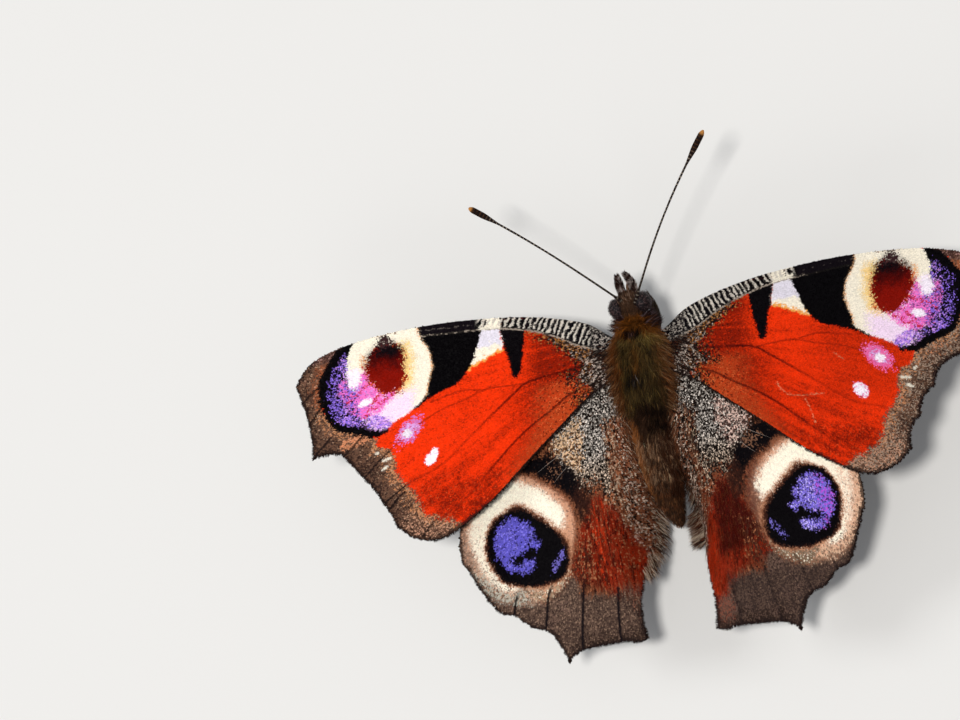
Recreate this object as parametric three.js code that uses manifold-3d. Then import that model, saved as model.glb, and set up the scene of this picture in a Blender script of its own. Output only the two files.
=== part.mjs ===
// Peacock butterfly at rest with its wings spread, life size, in millimetres.
// X runs to the insect's left, Y toward its tail, Z up. The feet stand on Z = 0.
// The insect is drawn level, in its own frame, then tipped head-up on its legs.

import * as THREE from 'three';
import { mergeVertices } from 'three/addons/utils/BufferGeometryUtils.js';
import Module from 'manifold-3d';

const wasm = await Module();
wasm.setup();

const degrees = THREE.MathUtils.degToRad;
const SIDES = { left: 1, right: -1 };

// Driving dimensions
const BODY_HEIGHT = 7.5;
const HEAD_UP = degrees(5);
const SHIFT_TO_CENTRE = -3.67;
const GAP = 0.2;
const WING_THICKNESS = 0.5;

// Trunk sections from the neck to the tail: place along the body, height of the widest line,
// half width, and reach above and below that line. The coat is counted in.
const COLLAR = [
  { y: -3.6, z: 0.5, wide: 1.5, top: 1.1, bottom: 1.2 },
  { y: -2.6, z: 0.6, wide: 2.2, top: 1.6, bottom: 1.9 },
];
const THORAX = [
  { y: -2.6, z: 0.6, wide: 2.2, top: 1.6, bottom: 1.9 },
  { y: -1.0, z: 0.75, wide: 2.8, top: 2.1, bottom: 2.6 },
  { y: 1.3, z: 0.8, wide: 2.9, top: 2.25, bottom: 2.9 },
  { y: 3.4, z: 0.6, wide: 2.85, top: 2.0, bottom: 2.6 },
  { y: 4.5, z: 0.4, wide: 2.6, top: 1.9, bottom: 2.3 },
];
const ABDOMEN = [
  { y: 4.5, z: 0.4, wide: 2.6, top: 1.9, bottom: 2.3 },
  { y: 6.4, z: 0.1, wide: 2.5, top: 1.9, bottom: 2.1 },
  { y: 8.5, z: -0.25, wide: 2.3, top: 1.8, bottom: 1.9 },
  { y: 11.0, z: -0.8, wide: 1.85, top: 1.5, bottom: 1.6 },
  { y: 13.0, z: -1.6, wide: 1.4, top: 1.2, bottom: 1.3 },
  { y: 14.7, z: -2.75, wide: 0.9, top: 0.8, bottom: 0.9 },
  { y: 15.6, z: -3.6, wide: 0.4, top: 0.4, bottom: 0.4 },
];

// The head is set off to the insect's left, as it looks that way.
const HEAD = {
  neck: [0, -3.7, 0.6],
  turn: degrees(6.5),
  centre: [0, -1.35, 0.1],
  size: [1.5, 1.2, 1.3],
};
const EYE = { centre: [1.22, -1.4, 0.25], size: [0.78, 0.92, 1.0] };
const PALP = {
  path: [[0.5, -2.2, -0.35], [0.62, -3.1, -0.2], [0.56, -3.9, 0.25], [0.42, -4.45, 0.75]],
  radii: [0.3, 0.36, 0.32, 0.25],
};
const PROBOSCIS = { centre: [0, -2.6, -1.35], inner: 0.32, outer: 0.95, turns: 1.2, radius: 0.25 };

// Antennae reach from the brow to the club's tip; they are held at different angles.
const ANTENNA = {
  base: [0.85, -5.75, 1.75],
  reach: { left: [11.1, -10.3, 4.8], right: [-9.3, -13.6, 2.6] },
  bow: { left: [0.1, -0.5, 0.3], right: [0.4, -0.1, 0.3] },
  clubShare: 0.18,
  shaftRadius: 0.25,
  clubRadius: 0.4,
};

// Forewing: drawn flat, `out` along the span and `fore` toward the head, from the hinge.
const FOREWING = {
  hinge: [2.45, -1.3, 0.6],
  pitch: degrees(15.4),
  dihedral: degrees(2.6),
  arch: { rise: 0.2, depth: 0.45, crest: -3, chord: 9 },
  hub: [12, 1],
  frontEdge: [
    [-0.6, 0.9], [0.4, 1.5], [2.9, 3.0], [8.5, 4.35], [16.1, 5.15],
    [22.8, 5.0], [26.9, 4.25], [29.2, 3.15], [30.55, 1.2],
  ],
  veinEnds: [
    [30.55, 1.2], [29.5, -2.75], [29.35, -5.85], [26.5, -5.9], [24.9, -8.0], [23.2, -10.5], [22.0, -13.2],
  ],
  bays: { left: [0.1, 0.05, 0.5, 0.05, 0.1, 0.1], right: [0.1, 0.3, 0.6, 0.55, 0.55, 0.5] },
  rearEdge: [
    [22.0, -13.2], [20.4, -14.6], [18.2, -15.15], [15.8, -14.4], [12.2, -12.1],
    [8.45, -8.95], [4.75, -5.95], [2.3, -4.0], [-0.6, -2.4],
  ],
};

// Hindwing: the same, but its sheet dips under the forewing in front, turns up at its outer edge
// and is folded down along the abdomen.
const HINDWING = {
  hinge: [2.28, 2.85],
  height: 2.42,
  rise: 0.0175,
  underForewing: 0.72,
  blend: 0.6,
  hub: [6, -8],
  frontEdge: [
    [-0.6, 2.2], [1.5, 2.4], [5.0, 1.8], [9.5, -0.2],
    [13.4, -3.6], [15.8, -7.6], [16.7, -10.8], [16.6, -13.3],
  ],
  outerEdge: [
    [16.6, -13.3], [15.5, -16.05], [14.3, -17.9], [13.0, -18.5], [11.7, -19.7],
    [10.4, -20.2], [9.6, -21.3], [8.75, -23.45],
  ],
  tailEdge: [[8.75, -23.45], [7.7, -22.65], [6.4, -22.35], [3.5, -22.2], [1.7, -22.4], [0.75, -22.1]],
  innerEdge: [
    [0.75, -22.1], [0.95, -19.4], [0.7, -17.1], [0.35, -15.4], [0.0, -13.6],
    [-0.05, -10.0], [-0.05, -6.0], [0.0, -3.0], [-0.6, 0.0],
  ],
  fold: { from: 5.2, width: 3.0, depth: 4.8, centre: 16.3, before: 6.2, after: 4.2 },
  upturn: { from: 12.5, width: 6.5, height: 1.7 },
};

// Legs, given for the left side. Walking legs stand on the floor; the forelegs are stunted and tucked up.
const FORELEG = {
  path: [[1.05, -2.3, -1.6], [1.3, -3.4, -1.95], [1.25, -4.6, -1.85], [0.95, -5.7, -1.55]],
  radii: [0.34, 0.32, 0.28, 0.25],
};
const WALKING_LEGS = {
  mid: { hip: [1.2, 0.2, 5.9], knee: [4.5, -0.9, 5.3], heel: [6.5, -1.9, 0.35], toe: [9.3, -3.9, 0.3] },
  hind: { hip: [1.1, 2.4, 5.6], knee: [3.9, 6.0, 5.1], heel: [5.9, 8.9, 0.35], toe: [7.7, 12.2, 0.3] },
};
const LEG_RADII = { hip: 0.5, femur: 0.42, knee: 0.32, shin: 0.28, tarsus: 0.27 };
const SOLE_HALF_WIDTH = 0.4;

const MATERIALS = {
  headFur: { color: 0x4a2f20, roughness: 0.95, metalness: 0 },
  eye: { color: 0x2a1c1a, roughness: 0.35, metalness: 0 },
  feeler: { color: 0x1d1714, roughness: 0.6, metalness: 0 },
  club: { color: 0x6b5236, roughness: 0.6, metalness: 0 },
  tongue: { color: 0x2a1a12, roughness: 0.5, metalness: 0 },
  thoraxFur: { color: 0x4a3018, roughness: 0.95, metalness: 0 },
  abdomenFur: { color: 0x33221a, roughness: 0.95, metalness: 0 },
  forewing: { color: 0xb5301a, roughness: 0.8, metalness: 0 },
  hindwing: { color: 0x6e4436, roughness: 0.8, metalness: 0 },
  leg: { color: 0x5a4a38, roughness: 0.7, metalness: 0 },
};

// Curves and outlines
const vector = ([x, y, z]) => new THREE.Vector3(x, y, z);
const plan = ([x, y]) => new THREE.Vector2(x, y);
const smoothCurve = (points, steps) => new THREE.SplineCurve(points.map(plan)).getPoints(steps);

// Margin between vein ends, each stretch sagging inward by its own depth.
function bayedCurve(ends, depths, hub, steps) {
  const points = [];
  depths.forEach((depth, index) => {
    const start = plan(ends[index]);
    const end = plan(ends[index + 1]);
    const middle = start.clone().add(end).multiplyScalar(0.5);
    const inward = plan(hub).sub(middle).normalize();
    const bay = new THREE.QuadraticBezierCurve(start, middle.addScaledVector(inward, 2 * depth), end);
    points.push(...bay.getPoints(steps));
  });
  return points;
}

function joinedOutline(stretches) {
  const outline = [];
  for (const point of stretches.flat()) {
    if (!outline.length || outline[outline.length - 1].distanceTo(point) > 0.05) {
      outline.push(point);
    }
  }
  if (outline[0].distanceTo(outline[outline.length - 1]) < 0.05) {
    outline.pop();
  }
  return outline;
}

// Closed bodies from corners and triangles, turned so that the faces point out
function closedBody(corners, triangles) {
  let volume = 0;
  for (const [a, b, c] of triangles) {
    volume += corners[a].dot(corners[b].clone().cross(corners[c]));
  }
  const faces = volume < 0 ? triangles.map(([a, b, c]) => [a, c, b]) : triangles;
  const geometry = new THREE.BufferGeometry();
  const positions = corners.flatMap((corner) => [corner.x, corner.y, corner.z]);
  geometry.setAttribute('position', new THREE.Float32BufferAttribute(positions, 3));
  geometry.setIndex(faces.flat());
  return geometry;
}

// A skin over a row of oval rings, with a flat cap at each end
function loft(rings, sides) {
  const corners = [];
  for (const ring of rings) {
    for (let k = 0; k < sides; k += 1) {
      const angle = (2 * Math.PI * k) / sides;
      const height = Math.sin(angle) * (Math.sin(angle) > 0 ? ring.top : ring.bottom);
      const corner = ring.centre.clone().addScaledVector(ring.side, Math.cos(angle) * ring.wide);
      corners.push(corner.addScaledVector(ring.up, height));
    }
  }
  const first = corners.push(rings[0].centre.clone()) - 1;
  const last = corners.push(rings[rings.length - 1].centre.clone()) - 1;
  const lastRing = (rings.length - 1) * sides;
  const triangles = [];
  for (let k = 0; k < sides; k += 1) {
    const next = (k + 1) % sides;
    for (let row = 0; row < lastRing; row += sides) {
      triangles.push([row + k, row + next, row + sides + next]);
      triangles.push([row + k, row + sides + next, row + sides + k]);
    }
    triangles.push([first, next, k]);
    triangles.push([last, lastRing + k, lastRing + next]);
  }
  return closedBody(corners, triangles);
}

// A round limb along a path, thick as the radii say at each point
function limb(path, radii, sides = 8) {
  const points = path.map(vector);
  const rings = points.map((centre, index) => {
    const before = points[Math.max(index - 1, 0)];
    const after = points[Math.min(index + 1, points.length - 1)];
    const along = after.clone().sub(before).normalize();
    const side = along.clone().cross(new THREE.Vector3(0, 0, 1)).normalize();
    const up = side.clone().cross(along);
    const radius = radii[index];
    return { centre, side, up, wide: radius, top: radius, bottom: radius };
  });
  return loft(rings, sides);
}

function ellipsoid(centre, size, grow = 0) {
  const ball = new THREE.SphereGeometry(1, 16, 12);
  ball.scale(size[0] + grow, size[1] + grow, size[2] + grow);
  return ball.translate(...centre);
}

// Cutting one body by another
function toSolid(geometry) {
  const bare = geometry.clone();
  bare.deleteAttribute('normal');
  bare.deleteAttribute('uv');
  const merged = mergeVertices(bare, 1e-5);
  const mesh = new wasm.Mesh({
    numProp: 3,
    vertProperties: new Float32Array(merged.attributes.position.array),
    triVerts: new Uint32Array(merged.index.array),
  });
  return new wasm.Manifold(mesh);
}

function cutAway(geometry, ...cutters) {
  let solid = toSolid(geometry);
  for (const cutter of cutters) {
    solid = solid.subtract(toSolid(cutter));
  }
  const largest = solid.decompose().sort((a, b) => b.volume() - a.volume())[0];
  const mesh = largest.getMesh();
  const cut = new THREE.BufferGeometry();
  cut.setAttribute('position', new THREE.BufferAttribute(new Float32Array(mesh.vertProperties), 3));
  cut.setIndex(new THREE.BufferAttribute(new Uint32Array(mesh.triVerts), 1));
  return cut;
}

// Trunk: rings stand square to the body's own bent axis
function trunk(stations, rows, grow = 0) {
  const axis = new THREE.CatmullRomCurve3(stations.map(({ y, z }) => new THREE.Vector3(0, y, z)));
  const sizes = new THREE.CatmullRomCurve3(
    stations.map(({ wide, top, bottom }) => new THREE.Vector3(wide, top, bottom)),
  );
  const rings = [];
  for (let row = 0; row <= rows; row += 1) {
    const along = axis.getTangent(row / rows);
    const size = sizes.getPoint(row / rows);
    rings.push({
      centre: axis.getPoint(row / rows),
      side: new THREE.Vector3(1, 0, 0),
      up: new THREE.Vector3(0, -along.z, along.y).multiplyScalar(Math.sign(along.y)),
      wide: size.x + grow,
      top: size.y + grow,
      bottom: size.z + grow,
    });
  }
  return loft(rings, 20);
}

// A neighbour starts a hair's breadth after the section that both share.
function openGap(stations, shift) {
  const [first, ...rest] = stations;
  return [{ ...first, y: first.y + shift }, ...rest];
}

function trunkParts(group) {
  const parts = {
    collar: [COLLAR, 3, MATERIALS.thoraxFur],
    thorax: [openGap(THORAX, GAP), 10, MATERIALS.thoraxFur],
    abdomen: [openGap(ABDOMEN, GAP), 13, MATERIALS.abdomenFur],
  };
  for (const [name, [stations, rows, finish]] of Object.entries(parts)) {
    group.add(namedMesh(name, trunk(stations, rows), finish));
  }
}

function trunkCutters() {
  return [trunk(COLLAR, 3, GAP), trunk(THORAX, 10, GAP), trunk(ABDOMEN, 13, GAP)];
}

// Head, eyes, palps and coiled tongue
function headParts(group) {
  const skull = ellipsoid(HEAD.centre, HEAD.size);
  const grown = ellipsoid(HEAD.centre, HEAD.size, GAP);
  const sockets = [];
  for (const [side, sign] of Object.entries(SIDES)) {
    const [x, y, z] = EYE.centre;
    group.add(namedMesh(`eye_${side}`, ellipsoid([sign * x, y, z], EYE.size), MATERIALS.eye));
    sockets.push(ellipsoid([sign * x, y, z], EYE.size, GAP));
    const palp = limb(mirrored(PALP.path, sign), PALP.radii);
    group.add(namedMesh(`palp_${side}`, cutAway(palp, grown), MATERIALS.headFur));
  }
  group.add(namedMesh('head', cutAway(skull, ...sockets), MATERIALS.headFur));

  const coil = [];
  const steps = 22;
  for (let step = 0; step <= steps; step += 1) {
    const share = step / steps;
    const angle = degrees(80) + share * PROBOSCIS.turns * 2 * Math.PI;
    const radius = THREE.MathUtils.lerp(PROBOSCIS.outer, PROBOSCIS.inner, share);
    const [x, y, z] = PROBOSCIS.centre;
    const outward = new THREE.Vector3(0, Math.cos(angle), Math.sin(angle));
    coil.push({ outward, point: new THREE.Vector3(x, y, z).addScaledVector(outward, radius) });
  }
  const rings = coil.map(({ outward, point }) => ({
    centre: point,
    side: new THREE.Vector3(1, 0, 0),
    up: outward,
    wide: PROBOSCIS.radius,
    top: PROBOSCIS.radius,
    bottom: PROBOSCIS.radius,
  }));
  group.add(namedMesh('proboscis', cutAway(loft(rings, 8), grown), MATERIALS.tongue));
}

function mirrored(path, sign) {
  return path.map(([x, y, z]) => [sign * x, y, z]);
}

// Each antenna bows a little; its last stretch is the club.
function antennaParts(group, side) {
  const sign = SIDES[side];
  const base = vector(ANTENNA.base).multiply(new THREE.Vector3(sign, 1, 1));
  const reach = vector(ANTENNA.reach[side]);
  const bow = vector(ANTENNA.bow[side]);
  const place = (share) => {
    const point = base.clone().addScaledVector(reach, share);
    return point.addScaledVector(bow, Math.sin(Math.PI * share)).toArray();
  };
  const clubStart = 1 - ANTENNA.clubShare;
  const split = GAP / reach.length();
  const shaft = [0, 0.2, 0.4, 0.6, clubStart - split].map(place);
  const club = [clubStart, clubStart + 0.05, clubStart + 0.1, 0.97, 1].map(place);
  const thin = ANTENNA.shaftRadius;
  const thick = ANTENNA.clubRadius;
  group.add(namedMesh(`antenna_${side}`, limb(shaft, shaft.map(() => thin)), MATERIALS.feeler));
  const clubRadii = [thin, 0.5 * (thin + thick), thick, thick, 0.25];
  group.add(namedMesh(`antenna_club_${side}`, limb(club, clubRadii), MATERIALS.club));
}

// Height of the forewing's middle sheet over a place in plan
function forewingHeight(x, y) {
  const [hingeX, hingeY, hingeZ] = FOREWING.hinge;
  const fore = hingeY - y;
  const slope = Math.tan(FOREWING.dihedral) * (Math.abs(x) - hingeX) - Math.tan(FOREWING.pitch) * fore;
  const { rise, depth, crest, chord } = FOREWING.arch;
  return hingeZ + slope + rise - depth * ((fore - crest) / chord) ** 2;
}

// Height of the hindwing's middle sheet over a place in plan
function hindwingHeight(x, y) {
  const { height, rise, underForewing, blend, fold, upturn } = HINDWING;
  const outward = THREE.MathUtils.clamp((Math.abs(x) - upturn.from) / upturn.width, 0, 1.2);
  const level = height - rise * y + upturn.height * outward ** 2;
  const under = forewingHeight(x, y) - underForewing;
  const sheet = -blend * Math.log(Math.exp(-level / blend) + Math.exp(-under / blend));
  const reach = THREE.MathUtils.clamp((fold.from - Math.abs(x)) / fold.width, 0, 1.2);
  const length = y < fold.centre ? fold.before : fold.after;
  const along = Math.exp(-(((y - fold.centre) / length) ** 2));
  return sheet - fold.depth * along * reach ** 2;
}

// A wing is a sheet of even thickness over its outline, in rings round a hub.
function wingSolid(outline, hub, rows, height) {
  const steps = 0.01;
  const corners = [];
  const count = outline.length;
  const addPair = (spot) => {
    const rise = height(spot.x, spot.y);
    const slopeX = (height(spot.x + steps, spot.y) - rise) / steps;
    const slopeY = (height(spot.x, spot.y + steps) - rise) / steps;
    const normal = new THREE.Vector3(-slopeX, -slopeY, 1).normalize();
    const middle = new THREE.Vector3(spot.x, spot.y, rise);
    corners.push(middle.clone().addScaledVector(normal, WING_THICKNESS / 2));
    corners.push(middle.clone().addScaledVector(normal, -WING_THICKNESS / 2));
  };
  addPair(hub);
  for (let row = 1; row <= rows; row += 1) {
    outline.forEach((point) => addPair(hub.clone().lerp(point, row / rows)));
  }
  const corner = (row, k, under) => (row === 0 ? 0 : 2 + 2 * ((row - 1) * count + (k % count))) + under;
  const triangles = [];
  for (let k = 0; k < count; k += 1) {
    triangles.push([0, corner(1, k, 0), corner(1, k + 1, 0)]);
    triangles.push([1, corner(1, k + 1, 1), corner(1, k, 1)]);
    for (let row = 1; row < rows; row += 1) {
      triangles.push([corner(row, k, 0), corner(row + 1, k, 0), corner(row + 1, k + 1, 0)]);
      triangles.push([corner(row, k, 0), corner(row + 1, k + 1, 0), corner(row, k + 1, 0)]);
      triangles.push([corner(row, k, 1), corner(row + 1, k + 1, 1), corner(row + 1, k, 1)]);
      triangles.push([corner(row, k, 1), corner(row, k + 1, 1), corner(row + 1, k + 1, 1)]);
    }
    triangles.push([corner(rows, k, 0), corner(rows, k, 1), corner(rows, k + 1, 1)]);
    triangles.push([corner(rows, k, 0), corner(rows, k + 1, 1), corner(rows, k + 1, 0)]);
  }
  return closedBody(corners, triangles);
}

function forewing(side) {
  const { hinge, pitch, frontEdge, veinEnds, bays, rearEdge, hub } = FOREWING;
  const place = (point) => new THREE.Vector2(
    SIDES[side] * (hinge[0] + point.x * Math.cos(FOREWING.dihedral)),
    hinge[1] - point.y * Math.cos(pitch),
  );
  const outline = joinedOutline([
    smoothCurve(frontEdge, 20),
    bayedCurve(veinEnds, bays[side], hub, 4),
    smoothCurve(rearEdge, 14),
  ]);
  return wingSolid(outline.map(place), place(plan(hub)), 3, forewingHeight);
}

function hindwing(side) {
  const { hinge, frontEdge, outerEdge, tailEdge, innerEdge, hub } = HINDWING;
  const place = (point) => new THREE.Vector2(SIDES[side] * (hinge[0] + point.x), hinge[1] - point.y);
  const outline = joinedOutline([
    smoothCurve(frontEdge, 12),
    smoothCurve(outerEdge, 18),
    smoothCurve(tailEdge, 9),
    smoothCurve(innerEdge, 14),
  ]);
  return wingSolid(outline.map(place), place(plan(hub)), 7, hindwingHeight);
}

// A walking leg is one bent limb; its last two stretches, the tarsus, lie flat on the floor.
function walkingLeg({ hip, knee, heel, toe }, sign) {
  const { lerp } = THREE.MathUtils;
  const between = (from, to, share) => from.map((value, axis) => lerp(value, to[axis], share));
  const thigh = between(hip, knee, 0.45);
  const shinMiddle = between(knee, heel, 0.5);
  const tarsusMiddle = between(heel, toe, 0.5);
  const path = [hip, thigh, knee, shinMiddle, heel, tarsusMiddle, toe];
  const { femur, shin, tarsus } = LEG_RADII;
  const radii = [LEG_RADII.hip, femur, LEG_RADII.knee, shin, tarsus, tarsus, tarsus];
  const points = mirrored(path, sign).map(vector);
  const rings = points.map((centre, index) => {
    const before = points[Math.max(index - 1, 0)];
    const after = points[Math.min(index + 1, points.length - 1)];
    const onFloor = index >= 4;
    const along = after.clone().sub(onFloor ? points[index - 1].clone().setZ(centre.z) : before).normalize();
    const side = along.clone().cross(new THREE.Vector3(0, 0, 1)).normalize();
    const radius = radii[index];
    return {
      centre,
      side,
      up: side.clone().cross(along),
      wide: onFloor ? SOLE_HALF_WIDTH : radius,
      top: radius,
      bottom: onFloor ? 0.5 : radius,
    };
  });
  const geometry = loft(rings, 6);
  const position = geometry.attributes.position;
  for (let index = 0; index < position.count; index += 1) {
    position.setZ(index, Math.max(position.getZ(index), 0));
  }
  return geometry;
}

function namedMesh(name, geometry, finish) {
  const mesh = new THREE.Mesh(geometry, new THREE.MeshStandardMaterial(finish));
  mesh.name = name;
  return mesh;
}

// The whole insect
const butterfly = new THREE.Group();

const standing = new THREE.Group();
standing.position.y = SHIFT_TO_CENTRE;
butterfly.add(standing);

const insect = new THREE.Group();
insect.position.set(0, 0, BODY_HEIGHT);
insect.rotation.x = -HEAD_UP;
insect.updateMatrix();
standing.add(insect);

const head = new THREE.Group();
head.position.set(...HEAD.neck);
head.rotation.z = HEAD.turn;
insect.add(head);

headParts(head);
trunkParts(insect);

const bodyCutters = trunkCutters();
const floorCutters = bodyCutters.map((cutter) => cutter.clone().applyMatrix4(insect.matrix));

for (const [side, sign] of Object.entries(SIDES)) {
  antennaParts(insect, side);
  const foreleg = limb(mirrored(FORELEG.path, sign), FORELEG.radii, 6);
  insect.add(namedMesh(`foreleg_${side}`, cutAway(foreleg, ...bodyCutters), MATERIALS.leg));
  insect.add(namedMesh(`forewing_${side}`, cutAway(forewing(side), ...bodyCutters), MATERIALS.forewing));
  insect.add(namedMesh(`hindwing_${side}`, cutAway(hindwing(side), ...bodyCutters), MATERIALS.hindwing));
  for (const [place, joints] of Object.entries(WALKING_LEGS)) {
    const leg = cutAway(walkingLeg(joints, sign), ...floorCutters);
    standing.add(namedMesh(`${place}leg_${side}`, leg, MATERIALS.leg));
  }
}

export default butterfly;
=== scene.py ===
# Peacock butterfly, life size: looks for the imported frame. The insect is drawn level, in millimetres,
# then tipped head-up on its legs and scaled to metres, as in the CAD.

import math

import bpy
import numpy as np
from mathutils import Matrix, Vector
from mathutils.geometry import delaunay_2d_cdt


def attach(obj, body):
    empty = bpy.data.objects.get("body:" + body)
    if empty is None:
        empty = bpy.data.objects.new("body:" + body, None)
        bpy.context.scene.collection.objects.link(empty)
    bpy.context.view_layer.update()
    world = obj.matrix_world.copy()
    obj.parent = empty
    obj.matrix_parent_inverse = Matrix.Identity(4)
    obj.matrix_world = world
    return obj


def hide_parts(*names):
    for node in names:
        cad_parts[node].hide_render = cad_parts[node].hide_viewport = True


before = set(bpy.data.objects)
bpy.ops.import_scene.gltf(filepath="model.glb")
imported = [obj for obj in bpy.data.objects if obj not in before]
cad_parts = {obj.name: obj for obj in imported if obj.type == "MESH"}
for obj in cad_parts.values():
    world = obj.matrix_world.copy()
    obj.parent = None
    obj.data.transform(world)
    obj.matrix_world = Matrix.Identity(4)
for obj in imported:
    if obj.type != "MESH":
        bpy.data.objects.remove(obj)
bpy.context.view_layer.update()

MM = 0.001
BODY_HEIGHT = 7.5
HEAD_UP = math.radians(5)
SHIFT_TO_CENTRE = -3.67
SIDES = {"left": 1, "right": -1}
NOISE_PRIMES = (73856093, 19349663, 83492791)
NOISE_SCRAMBLE = 1274126177
LOW_31_BITS = 0x7FFFFFFF
LOW_16_BITS = 0xFFFF
FAR_OFF = 99.0
TINY = 1e-9
TINIEST = 1e-12


# Camera, at the photograph's angle
def make_camera():
    back = Vector((-0.309017, 0.082890, 0.947437))
    right = Vector((-0.938422, 0.135273, -0.317912))
    up = back.cross(right)
    place = Vector((-118.220, 29.764, 417.233)) * MM
    data = bpy.data.cameras.new("camera")
    data.lens = 177.19
    data.sensor_width = 36
    data.clip_start = 0.01
    data.clip_end = 20
    camera = bpy.data.objects.new("camera", data)
    turn = Matrix((right, up, back)).transposed().to_4x4()
    camera.matrix_world = Matrix.Translation(place) @ turn
    bpy.context.collection.objects.link(camera)
    bpy.context.scene.camera = camera


make_camera()


# Smooth curves through a few points, as in the CAD
def smooth_curve(points, steps, closed=False):
    points = np.asarray(points, float)
    count = len(points)
    spans = count if closed else count - 1
    share = np.linspace(0, spans, steps + 1)[: steps if closed else None]
    span = np.minimum(share.astype(int), spans - 1)
    t = (share - span)[:, None]
    if closed:
        p0, p1, p2, p3 = (points[(span + k) % count] for k in (-1, 0, 1, 2))
    else:
        p0, p1, p2, p3 = (points[np.clip(span + k, 0, count - 1)] for k in (-1, 0, 1, 2))
    v0 = 0.5 * (p2 - p0)
    v1 = 0.5 * (p3 - p1)
    return (2 * (p1 - p2) + v0 + v1) * t**3 + (3 * (p2 - p1) - 2 * v0 - v1) * t**2 + v0 * t + p1


def ramp(low, high, value):
    """A smooth step: 0 up to low, 1 from high on. With low above high it falls instead."""
    t = np.clip((value - low) / (high - low), 0, 1)
    return t * t * (3 - 2 * t)


def noise(p, size, seed=0):
    """Smooth noise from -1 to 1 over the plane; size may differ along the two axes."""
    q = p / np.asarray(size, float)
    cell = np.floor(q).astype(np.int64)
    f = q - cell
    f = f * f * (3 - 2 * f)

    def knot(across, down):
        first, second, third = NOISE_PRIMES
        h = (cell[:, 0] + across) * first ^ (cell[:, 1] + down) * second ^ (seed + 1) * third
        h = ((h ^ (h >> 13)) * NOISE_SCRAMBLE) & LOW_31_BITS
        return ((h ^ (h >> 15)) & LOW_16_BITS) / (LOW_16_BITS / 2) - 1

    top = knot(0, 0) * (1 - f[:, 0]) + knot(1, 0) * f[:, 0]
    low = knot(0, 1) * (1 - f[:, 0]) + knot(1, 1) * f[:, 0]
    return top * (1 - f[:, 1]) + low * f[:, 1]


def path_distance(p, path, reach=2.0):
    """Distance from each place to a path, and how far along it the nearest point lies (0 to 1).
    Places farther off than reach only get a large number."""
    path = np.asarray(path, float)
    far = np.full(len(p), FAR_OFF)
    share = np.zeros(len(p))
    low, high = path.min(0) - reach, path.max(0) + reach
    near = np.flatnonzero(((p > low) & (p < high)).all(1))
    q = p[near]
    best = np.full(len(q), FAR_OFF)
    where = np.zeros(len(q))
    lengths = np.linalg.norm(np.diff(path, axis=0), axis=1)
    starts = np.concatenate([[0], np.cumsum(lengths)])
    for k, (a, b) in enumerate(zip(path[:-1], path[1:])):
        step = b - a
        t = np.clip(((q - a) @ step) / max(step @ step, TINIEST), 0, 1)
        d = np.hypot(*(q - a - t[:, None] * step).T)
        closer = d < best
        best[closer] = d[closer]
        where[closer] = (starts[k] + t[closer] * lengths[k]) / starts[-1]
    far[near] = best
    share[near] = where
    return far, share


def depth_in(p, outline, reach=2.0):
    """How deep each place lies inside a closed outline; negative outside."""
    ring = np.vstack([outline, outline[:1]])
    distance, _ = path_distance(p, ring, reach)
    inside = np.zeros(len(p), bool)
    low, high = ring.min(0), ring.max(0)
    near = np.flatnonzero(((p > low) & (p < high)).all(1))
    x, y = p[near].T
    odd = np.zeros(len(near), bool)
    for (ax, ay), (bx, by) in zip(ring[:-1], ring[1:]):
        if ay == by:
            continue
        odd ^= ((ay > y) != (by > y)) & (x < ax + (y - ay) * (bx - ax) / (by - ay))
    inside[near] = odd
    return np.where(inside, distance, -distance)


def shape(p, points, edge, rough=0.0, seed=0, steps=6):
    """Share of a closed smooth shape at each place: 1 inside, 0 outside, with a soft or rough edge."""
    depth = depth_in(p, smooth_curve(points, steps * len(points), closed=True), reach=2 * edge + rough + 0.5)
    if rough:
        depth = depth + rough * (0.6 * noise(p, 0.35, seed) + 0.5 * noise(p, 0.8, seed + 7))
        depth = depth + rough * 0.9 * noise(p, 0.09, seed + 3)
    return ramp(-edge, edge, depth)


def oval(p, centre, half, turn=0.0):
    """How far out each place lies in an oval: 0 at its centre, 1 at its edge."""
    q = p - centre
    if turn:
        q = q @ np.array([[math.cos(turn), -math.sin(turn)], [math.sin(turn), math.cos(turn)]])
    return np.hypot(q[:, 0] / half[0], q[:, 1] / half[1])


def unit(vectors, least=0.0):
    """The same directions, each one long."""
    return vectors / (np.linalg.norm(vectors, axis=-1, keepdims=True) + least)


def srgb(*rgb):
    """Linear light from the usual levels of 0 to 255."""
    c = np.array(rgb, float) / 255
    return np.where(c <= 0.04045, c / 12.92, ((c + 0.055) / 1.055) ** 2.4)


def mix(under, over, share):
    return under + (over - under) * np.asarray(share)[:, None]


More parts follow.
